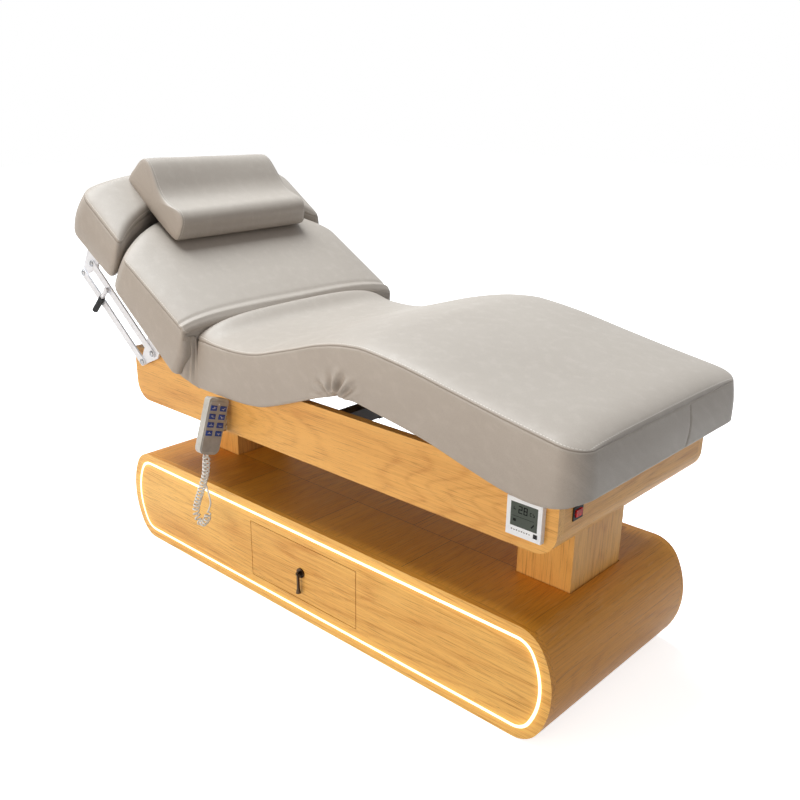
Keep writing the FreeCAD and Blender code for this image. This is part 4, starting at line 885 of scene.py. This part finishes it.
dress(ply, "headrest_board")
rest_head = -0.991
rest_end = -0.735
rest_half = 0.385
rest_top = 0.754
rest_bottom = 0.645
rest_crown = 0.034
rest_power = (4.2, 0.5)
rest_depth = 0.030
rest_head_round = 0.06
rest_end_round = 0.03
rest_head_fall = 0.07
rest_end_fall = 0.05
rest_lift = 0.013
rest_lift_depth = 0.05
rest_arch_half = 0.394
rest_bow = 0.045
rest_swell = 0.006
rest_pitch = 0.010
rest_softness = 0.0015
rest_band_softness = 0.0012
rest_soft_edge = 0.03


def rest_shape(x, y, z, away):
    """A soft unevenness, a lifted and bowed head end, and a foot end hollowed round the backrest."""
    soft = noise.noise(Vector((x * 7 + 9, y * 7, z * 7)))
    if away >= 0:
        z += rest_softness * soft * min(1.0, away / rest_soft_edge)
    elif away > band_limit:
        y += rest_band_softness * soft * sign(y)
    share = clamp((x - rest_head) / (rest_end - rest_head))
    if away > -rest_lift_depth:
        z += rest_lift * (1 - share) * (1 - clamp(-away / rest_lift_depth))
    x -= share * bowed(y, rest_arch_half, arch_rise) + (1 - share) * bowed(y, rest_arch_half, rest_bow)
    return x, y, z


rest_band = [(step, out + rest_swell * sin(pi * step)) for step, out in side_band]
rest_rows = round_in(rest_head, rest_head_round)
rest_rows += steps(rest_head + rest_head_round, rest_end - rest_end_round, rest_pitch)
rest_rows += round_out(rest_end, rest_end_round)
rest_data = block(rest_rows, clustered(40),
                  rounded_half(rest_half, rest_head, rest_end, rest_head_round, rest_end_round),
                  lambda x: rest_top, lambda x: rest_bottom,
                  fall(rest_head, rest_end, rest_head_fall, rest_end_fall, rest_crown),
                  rest_band, rest_depth, tilted, rest_shape, rest_power)
rest_cover = raise_cover("headrest_cover", *rest_data)
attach(rest_cover, "headrest")
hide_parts("headrest_cushion")

# Pillow: a loose foam wedge with a roll at the front and a shallow dip behind it, laid on the headrest.
# Its cover is one panel wrapped round the foam, sewn to two flat ends with a corded seam.

pillow_place = Matrix.Translation((-0.718, 0.022, 0.7662))
pillow_lean = radians(3.5)
pillow_turn = back_turn @ pillow_place @ Matrix.Rotation(pillow_lean, 4, "Y")
pillow_half = 0.241
pillow_length = 0.272
pillow_waist = 0.042
pillow_foot = 0.005
pillow_bulge = 0.004
pillow_sole = 0.0008
pillow_heel = 0.004
pillow_middle = (-0.136, pillow_waist)
pillow_top = through([(0.0, pillow_waist), (0.004, 0.058), (0.014, 0.072), (0.030, 0.079), (0.046, 0.079),
                      (0.070, 0.0715), (0.095, 0.0655), (0.118, 0.0645), (0.145, 0.069), (0.180, 0.081),
                      (0.210, 0.090), (0.232, 0.0925), (0.252, 0.087), (0.265, 0.070),
                      (pillow_length, pillow_waist)])


def pillow_loop():
    """The pillow's side outline, from the front edge over the top to the back and along the bottom."""
    shares = [0.5 - 0.5 * cos(pi * n / 44) for n in range(45)]
    tall = pillow_waist - pillow_foot
    flat = pillow_length - 2 * pillow_foot
    top = [(-each * pillow_length, pillow_top(each * pillow_length)) for each in shares]
    back = [(-pillow_length - pillow_bulge * sin(pi * n / 8), pillow_waist - tall * n / 8)
            for n in range(1, 8)]
    base = [(pillow_foot - pillow_length + flat * n / 24, pillow_sole + pillow_heel * abs(n / 12 - 1) ** 6)
            for n in range(25)]
    front = [(pillow_bulge * sin(pi * n / 8), pillow_foot + tall * n / 8) for n in range(1, 8)]
    return top + back + base + front


pillow_outline = pillow_loop()
pillow_points = []
pillow_plan = []
pillow_seams = []

# Each ring of an end cap: how far it stands out, and its size as a share of the outline.
cap_rings = [(0.0012, 0.985), (0.0042, 0.96), (0.0065, 0.88), (0.0085, 0.7), (0.0095, 0.45), (0.010, 0.2)]
slices = [(-pillow_half - out, share, True) for out, share in reversed(cap_rings)]
slices += [(pillow_half * share, 1.0, False) for share in clustered(36)]
slices += [(pillow_half + out, share, True) for out, share in cap_rings]
seam_tuck = 0.012
seam_tuck_reach = 0.012
fuller = 0.10
lean_in = 0.045
lean_from = 0.02
lean_height = 0.07
pillow_softness = 0.0014
cap_width = 0.06
map_shift = 0.6
for y, share, cap in slices:
    gone = 0.0
    for n, (x, z) in enumerate(pillow_outline):
        if n:
            gone += hypot(x - pillow_outline[n - 1][0], z - pillow_outline[n - 1][1])
        gap = pillow_half - abs(y)
        tuck = share if cap else 1.0 - seam_tuck * exp(-max(gap, 0.0) / seam_tuck_reach)
        px = pillow_middle[0] + (x - pillow_middle[0]) * tuck
        pz = pillow_middle[1] + (z - pillow_middle[1]) * tuck
        if not cap and pz > lean_from:
            soft = noise.noise(Vector((x * 9, y * 9, z * 9 + 4)))
            pz += pillow_softness * soft * min(1.0, gap / rest_soft_edge)
        pz *= 1.0 + fuller * (1.0 - y / pillow_half) * max(0.0, -px / pillow_length) ** 1.5
        lean = 1.0 - lean_in * max(0.0, pz - lean_from) / lean_height * abs(y / pillow_half) ** 3
        pillow_points.append(tuple(pillow_turn @ Vector((px, y * lean, pz))))
        pillow_plan.append((x, y + map_shift + (z if cap else 0)))
        pillow_seams.append((gone, -(1 - share) * cap_width if cap else gap))


def skin_rings(rings, count, first=0):
    """The faces between rings of points that follow one another, count points in each."""
    faces = []
    for k in range(first, first + (rings - 1) * count, count):
        for n in range(count):
            after = (n + 1) % count
            faces.append((k + n, k + after, k + count + after, k + count + n))
    return faces


ring_size = len(pillow_outline)
pillow_faces = skin_rings(len(slices), ring_size)
pillow_faces.append(tuple(range(ring_size - 1, -1, -1)))
pillow_faces.append(tuple((len(slices) - 1) * ring_size + n for n in range(ring_size)))
pillow_cover = raise_cover("pillow_cover", pillow_points, pillow_faces, pillow_plan, pillow_seams)
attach(pillow_cover, "pillow")
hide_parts("pillow")

# Headrest linkage: flat steel bars with a white powder coat, pivoting on dome-headed bolts.
# A bent steel lever with a black moulded grip releases it.

link_edge = 0.0008
link_bars = ["link_plates_lower", "headrest_arms_upper", "headrest_arms_lower", "headrest_plates"]
white_steel = steel("white_steel", colour(238, 241, 248), colour(222, 225, 232), 0.0, 0.3)
dress(white_steel, *link_bars, "release_lever")
ease(link_bars, link_edge)
bolt_side = 0.3398
bolt_steel = steel("bolt_steel", colour(150, 151, 154), colour(112, 114, 118), 0.9, 0.28)


def domes(name, places):
    """Dome heads of bolts, turned from a short profile, at places given in the backrest's lying frame."""
    profile = [(0.0, 0.0092), (0.0012, 0.0092), (0.0030, 0.0082), (0.0046, 0.0060), (0.0054, 0.0034),
               (0.0050, 0.0026), (0.0036, 0.0024), (0.0036, 0.0)]
    sides = 20
    points = []
    faces = []
    for x, z in places:
        for side in (-1, 1):
            first = len(points)
            for out, radius in profile:
                for n in range(sides):
                    angle = 2 * pi * n / sides
                    px = x + radius * cos(angle)
                    pz = z + radius * sin(angle)
                    points.append(tilted(px, side * (bolt_side + out), pz))
            made = skin_rings(len(profile), sides, first)
            made.append(tuple(range(first + sides - 1, first - 1, -1)))
            faces += made if side < 0 else [each[::-1] for each in made]
    return raise_piece(name, points, faces, bolt_steel)


for bolts, body in ((domes("bolts_low", [(-0.5544, 0.5085), (-0.5834, 0.4505)]), "backrest"),
                    (domes("bolts_high", [(-0.9154, 0.5575), (-0.9444, 0.4995)]), "headrest")):
    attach(bolts, body)


def plastic(name, pale, deep, rough, sheen=0.5):
    """Moulded plastic with a fine spark-eroded texture and slightly rubbed high spots."""
    material, start, feed = paint(name, Specular_IOR_Level=sheen)
    place = start.node("TexCoord", out=3)
    spark = place.noise(1500.0, 2.0)
    rubbed = place.noise(40.0, 4.0, 0.6)
    feed(Base_Color=rubbed.span(0.3, 0.75).between(pale, deep), Roughness=rough + rubbed * 0.15,
         Normal=spark.bump(0.10, 0.0003))
    return material


black_plastic = plastic("black_plastic", colour(26, 26, 27), colour(15, 15, 16), 0.5, sheen=0.2)
dress(black_plastic, "lever_grip")

# Drives: two linear actuators under the boards, in black moulded housings with plated steel rods.
# Each is pinned to the subframe, and a black control box beside them is screwed on.

dress(black_plastic, "back_actuator", "leg_actuator", "control_box")
dress(bright_steel, "back_actuator_rod", "leg_actuator_rod")

# Handset: a light grey moulded shell with a slightly darker face, hung on a bent steel hook.
# It has eight blue rubber keys, printed with white bars and arrows, and a small lamp.

handset_edge = 0.001
handset_tilt = radians(18)
grey_plastic = plastic("grey_plastic", colour(196, 194, 188), colour(176, 174, 168), 0.36)
face_plastic = plastic("slate_plastic", colour(178, 177, 174), colour(160, 159, 156), 0.4)
blue_rubber = plastic("blue_button", colour(36, 74, 158), colour(26, 56, 128), 0.5)
mark_white = plastic("mark_white", colour(226, 228, 232), colour(204, 208, 214), 0.4)
dress(grey_plastic, "handset_shell")
dress(face_plastic, "handset_face")
dress(bright_steel, "handset_hook")
ease(["handset_shell"], handset_edge)
key_across = Vector((0, cos(handset_tilt), -sin(handset_tilt)))
key_up = Vector((0, sin(handset_tilt), cos(handset_tilt)))
mark_sink = 0.0001
mark_thick = 0.0003


def face_centre(node, axis, outward):
    """The middle of one side of a CAD piece's box, a hair under the skin."""
    low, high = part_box(node)
    middle = [(low[each] + high[each]) / 2 for each in range(3)]
    middle[axis] = high[axis] - mark_sink if outward > 0 else low[axis] + mark_sink
    return Vector(middle)


def solid(name, shapes, centre, across, up, thick, material):
    """Thin raised marks: flat outlines on a plane through centre, drawn out by a small thickness."""
    out = across.cross(up)
    points = []
    faces = []
    for shape in shapes:
        first = len(points)
        count = len(shape)
        for height in (0.0, thick):
            points += [tuple(centre + across * a + up * b + out * height) for a, b in shape]
        faces.append(tuple(range(first + count - 1, first - 1, -1)))
        faces.append(tuple(range(first + count, first + 2 * count)))
        faces += skin_rings(2, count, first)
    return raise_piece(name, points, faces, material, smooth=False)


def bar(left, right, low, high):
    return [(left, low), (right, low), (right, high), (left, high)]


def round_spot(radius, sides=14):
    return [(radius * cos(2 * pi * n / sides), radius * sin(2 * pi * n / sides)) for n in range(sides)]


# The signs for rows one to four: raised at the right, raised at the left, a low bar and a level bar.
right_sign = [(-0.006, -0.002), (0.001, -0.0014), (0.006, 0.0026), (0.0054, 0.0034), (0.0006, -0.0002),
              (-0.006, -0.0008)]
left_sign = [(-a, b) for a, b in right_sign[::-1]]
low_bar = bar(-0.006, 0.006, -0.0018, -0.0006)
level_bar = bar(-0.0055, 0.0055, -0.0006, 0.0006)
key_signs = [right_sign, left_sign, low_bar, level_bar]
arrow_half = 0.0018
arrow_foot = 0.0012
arrow_tip = 0.0044
for row, key_sign in enumerate(key_signs, 1):
    for side, turn in (("a", 1), ("b", -1)):
        key = f"handset_button_{row}{side}"
        dress(blue_rubber, key)
        arrow = [(-arrow_half, arrow_foot * turn), (arrow_half, arrow_foot * turn), (0.0, arrow_tip * turn)]
        sign = solid(f"key_sign_{row}{side}", [key_sign, arrow[::turn]], face_centre(key, 0, 1), key_across,
                     key_up, mark_thick, mark_white)
        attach(sign, key)
lamp_up = 0.062
lamp_radius = 0.0026
lamp_thick = 0.0008
power_lamp = solid("handset_lamp", [round_spot(lamp_radius)],
                   face_centre("handset_face", 0, 1) + key_up * lamp_up, key_across, key_up, lamp_thick,
                   mark_white)
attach(power_lamp, "upper_frame")

# Curly cord: pale grey insulated cable wound in a close spring, moulded to the handset's lower end.
# It hangs in a loop, and its straight tail goes back up to a gland under the control box.

wire_radius = 0.0024
wire_sides = 10
coil_radius = 0.0084
coil_turns = 24
route_steps = 24
route_pitch = 0.0008
wire_pitch = 0.0022
coil_route = [(-0.2615, -0.4041, 0.4483), (-0.2775, -0.3971, 0.3903), (-0.3115, -0.3931, 0.3213),
              (-0.3395, -0.3901, 0.2703), (-0.3475, -0.3901, 0.2373), (-0.3265, -0.3891, 0.2113),
              (-0.3005, -0.3881, 0.2323), (-0.2935, -0.3861, 0.2603)]
tail_route = [(-0.287, -0.382, 0.284), (-0.310, -0.370, 0.304), (-0.357, -0.350, 0.341),
              (-0.387, -0.323, 0.385), (-0.390, -0.309, 0.435), (-0.390, -0.309, 0.475)]


def spline_points(route, count):
    """A smooth line through every point of a route."""
    places = [Vector(each) for each in route]
    found = []
    for n in range(len(places) - 1):
        here = places[n]
        there = places[n + 1]
        leave = (there - places[max(n - 1, 0)]) / 2
        arrive = (places[min(n + 2, len(places) - 1)] - here) / 2
        for k in range(count):
            weights = cubic(k / count)
            found.append(here * weights[0] + leave * weights[1] + there * weights[2] + arrive * weights[3])
    return found + [places[-1]]


def evenly(points, pitch):
    """The same line with points a steady step apart."""
    total = sum((b - a).length for a, b in zip(points, points[1:]))
    count = max(2, round(total / pitch))
    want = [total * n / count for n in range(count + 1)]
    made = []
    gone = 0.0
    spot = 0
    for a, b in zip(points, points[1:]):
        size = (b - a).length
        while spot <= count and want[spot] <= gone + size + 1e-9:
            made.append(a.lerp(b, (want[spot] - gone) / size))
            spot += 1
        gone += size
    return made


def carried(path):
    """Each point of a line, with two directions square to it that are carried along without a twist."""
    ahead = (path[1] - path[0]).normalized()
    side = ahead.orthogonal().normalized()
    for n, here in enumerate(path):
        new = (path[min(n + 1, len(path) - 1)] - path[max(n - 1, 0)]).normalized()
        side = ahead.rotation_difference(new) @ side
        side = (side - new * side.dot(new)).normalized()
        ahead = new
        yield here, side, ahead.cross(side)


def tube(name, path, radius, sides, material):
    points = []
    for here, side, up in carried(path):
        for k in range(sides):
            angle = 2 * pi * k / sides
            points.append(tuple(here + side * (radius * cos(angle)) + up * (radius * sin(angle))))
    faces = skin_rings(len(path), sides)
    faces.append(tuple(range(sides - 1, -1, -1)))
    faces.append(tuple((len(path) - 1) * sides + k for k in range(sides)))
    return raise_piece(name, points, faces, material)


middle_line = evenly(spline_points(coil_route + tail_route, route_steps), route_pitch)
lengths = [0.0]
for a, b in zip(middle_line, middle_line[1:]):
    lengths.append(lengths[-1] + (b - a).length)
coil_end = min(range(len(middle_line)), key=lambda n: (middle_line[n] - Vector(coil_route[-1])).length)
coil_length = lengths[coil_end]
cord_path = []
for gone, (here, side, up) in zip(lengths, carried(middle_line)):
    share = gone / coil_length
    swell = min(1.0, share * coil_turns, max(0.0, (1 - share) * coil_turns))
    swell = swell * swell * (3 - 2 * swell)
    angle = 2 * pi * coil_turns * min(share, 1.0)
    cord_path.append(here + coil_radius * swell * (side * cos(angle) + up * sin(angle)))
cord_line = evenly(cord_path, wire_pitch)
cord_length = sum((b - a).length for a, b in zip(cord_line, cord_line[1:]))
cord_grey = plastic("cord_plastic", colour(232, 230, 225), colour(214, 212, 207), 0.38)
cord = tube("handset_cord_visual", cord_line, wire_radius, wire_sides, cord_grey)
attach(cord, "upper_frame")
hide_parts("handset_cord")
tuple(tail_route[-1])
[tuple(each) for each in cord_line]

# Thermostat and rocker switch: a white wall-type controller with a grey display let into the apron,
# and a lit red rocker in a black frame on the foot end. Both are moulded plastic, clipped into cut-outs.

white_plastic = plastic("white_plastic", colour(246, 250, 255), colour(236, 241, 248), 0.34)
dress(white_plastic, "thermostat_body")
dress(black_plastic, "thermostat_key", "switch_housing")


def screen():
    """The display's grey-green ground behind its window."""
    material, start, feed = paint("screen_glass", Specular_IOR_Level=0.15)
    place = start.node("TexCoord", out=3)
    lines = place.scaled(700, 1, 700).noise(1.0, 1.0)
    shade = place.noise(26.0, 2.0)
    feed(Base_Color=(shade * 0.7 + lines * 0.3).between(colour(86, 94, 86), colour(66, 74, 67)),
         Roughness=0.2 + lines * 0.1)
    return material


def rocker_lens():
    """Clear red plastic with a lamp behind it."""
    material, start, feed = paint("red_lens", Emission_Strength=0.25, Specular_IOR_Level=0.15)
    spots = start.node("TexCoord", out=3).noise(160.0, 3.0)
    feed(Base_Color=spots.between(colour(128, 5, 9), colour(186, 15, 19)),
         Emission_Color=spots.span(0.45, 0.7).between(colour(90, 0, 2), colour(255, 60, 50)),
         Roughness=0.25 + spots * 0.2)
    return material


dress(screen(), "thermostat_screen")
dress(rocker_lens(), "switch_rocker")


def digit(lit, left, low, width, height, pen):
    """One figure from seven bars. lit names the bars, from the top clockwise, with the middle one last."""
    right = left + width
    high = low + height
    middle = (low + high) / 2
    bars = [bar(left, right, high - pen, high),
            bar(right - pen, right, middle, high),
            bar(right - pen, right, low, middle),
            bar(left, right, low, low + pen),
            bar(left, left + pen, low, middle),
            bar(left, left + pen, middle, high),
            bar(left, right, middle - pen / 2, middle + pen / 2)]
    return [bars[each] for each in lit]


stat_across = Vector((1, 0, 0))
stat_up = Vector((0, 0, 1))
large = {"low": 0.004, "width": 0.0095, "height": 0.017, "pen": 0.0022}
small = {"low": 0.006, "width": 0.0045, "height": 0.008, "pen": 0.0011}
lcd_marks = digit((0, 1, 6, 4, 3), -0.014, **large)
lcd_marks += digit(range(7), -0.0015, **large)
lcd_marks += digit((0, 3, 4, 5), 0.014, **small)
lcd_marks += digit((5, 6, 2, 3), 0.021, **small)
lcd_marks += [bar(-0.026, -0.020, 0.010, 0.0115),
              bar(-0.026, -0.0245, 0.010, 0.016),
              bar(-0.028, 0.024, -0.0045, -0.0038),
              [(0.018, -0.018), (0.020, -0.020), (0.026, -0.012), (0.024, -0.010)],
              bar(-0.026, -0.019, -0.016, -0.010)]
lcd_ink = plastic("lcd_ink", colour(12, 15, 13), colour(8, 10, 9), 0.7, sheen=0.1)
lcd_middle = face_centre("thermostat_screen", 1, -1)
lcd = solid("thermostat_figures", lcd_marks, lcd_middle, stat_across, stat_up, mark_thick, lcd_ink)
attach(lcd, "upper_frame")

strip_up = 0.003
strip_left = -0.030
strip_pitch = 0.0062
strip_width = 0.0035
strip_half = 0.0014
strip_step = 0.0008
strip_marks = []
for n in range(8):
    left = strip_left + strip_pitch * n
    strip_marks.append(bar(left, left + strip_width, -strip_half, strip_half - strip_step * (n % 2)))
strip_ink = plastic("strip_ink", colour(120, 122, 124), colour(98, 100, 102), 0.5)
screen_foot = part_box("thermostat_screen")[0][2]
body_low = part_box("thermostat_body")[0]
strip_middle = Vector((lcd_middle.x, body_low[1] + mark_sink, (screen_foot + body_low[2]) / 2 + strip_up))
strip = solid("thermostat_strip", strip_marks, strip_middle, stat_across, stat_up, mark_thick, strip_ink)
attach(strip, "upper_frame")

# Setting: a pale floor that fades into a white room, under one broad soft lamp overhead.
# A warm lamp fills in from the drawer side, and a faint one from the foot.
# The camera stands off the foot corner of the drawer side.


def backdrop(start):
    """One for rays that show the floor or the sky itself, nought for those that only light the object."""
    rays = ("Is Camera Ray", "Is Glossy Ray", "Is Transmission Ray")
    paths = [start.node("LightPath", out=each) for each in rays]
    return start.sum("MINIMUM", paths[0] + paths[1] + paths[2], 1.0)


def floor_paint():
    """A pale matt floor. It shows near white, and throws less light back at the object."""
    material, start, feed = paint("floor", Roughness=0.9, Specular_IOR_Level=0.1, Emission_Strength=0.76)
    mottle = start.node("TexCoord", out=3).noise(2.0, 3.0)
    pale = mottle.between((0.84, 0.84, 0.84, 1), (0.88, 0.88, 0.88, 1))
    shown = backdrop(start)
    feed(Base_Color=shown.between((0.34, 0.34, 0.34, 1), pale),
         Emission_Color=shown.between((0, 0, 0, 1), (1, 1, 1, 1)))
    return material


floor_half = 14.0
floor_corners = [(x, y, 0) for x, y in bar(-floor_half, floor_half, -floor_half, floor_half)]
floor = raise_piece("floor", floor_corners, [(0, 1, 2, 3)], floor_paint(), smooth=False)

world = bpy.data.worlds.new("room")
bpy.context.scene.world = world
world.use_nodes = True
sky = world.node_tree.nodes["Background"]
sky.inputs["Strength"].default_value = 1.0
start = Tone(world.node_tree)
start.feed(sky.inputs["Color"], backdrop(start).between((0.28, 0.28, 0.285, 1), (1, 1, 1, 1)))


def lamp(name, place, target, width, height, power, tint):
    light = bpy.data.lights.new(name, "AREA")
    light.shape = "RECTANGLE"
    light.size = width
    light.size_y = height
    light.energy = power
    light.color = tint
    made = bpy.data.objects.new(name, light)
    made.location = place
    aim = Vector(target) - Vector(place)
    made.rotation_euler = aim.to_track_quat("-Z", "Y").to_euler()
    bpy.context.scene.collection.objects.link(made)
    return made


lamps = [lamp("over", (-2.3, 0.1, 7.0), (0, 0, 0.7), 5.0, 4.4, 710, (0.91, 0.967, 1)),
         lamp("front", (-0.4, -3.4, 1.0), (0, 0, 0.35), 2.8, 1.6, 55, (1, 0.86, 0.72)),
         lamp("foot", (3.4, -0.4, 1.5), (0, 0, 0.5), 1.8, 1.6, 4, (1, 0.97, 0.93))]

camera_data = bpy.data.cameras.new("camera")
camera_data.sensor_width = 36
camera_data.lens = 41.77
camera_data.shift_x = 0.0468
camera_data.shift_y = 0.0411
camera = bpy.data.objects.new("camera", camera_data)
camera.location = (1.6658, -1.7835, 1.3989)
camera.rotation_euler = (radians(69.1), 0, radians(44.1))
bpy.context.scene.collection.objects.link(camera)
bpy.context.scene.camera = camera
bpy.context.scene.view_settings.view_transform = "Standard"
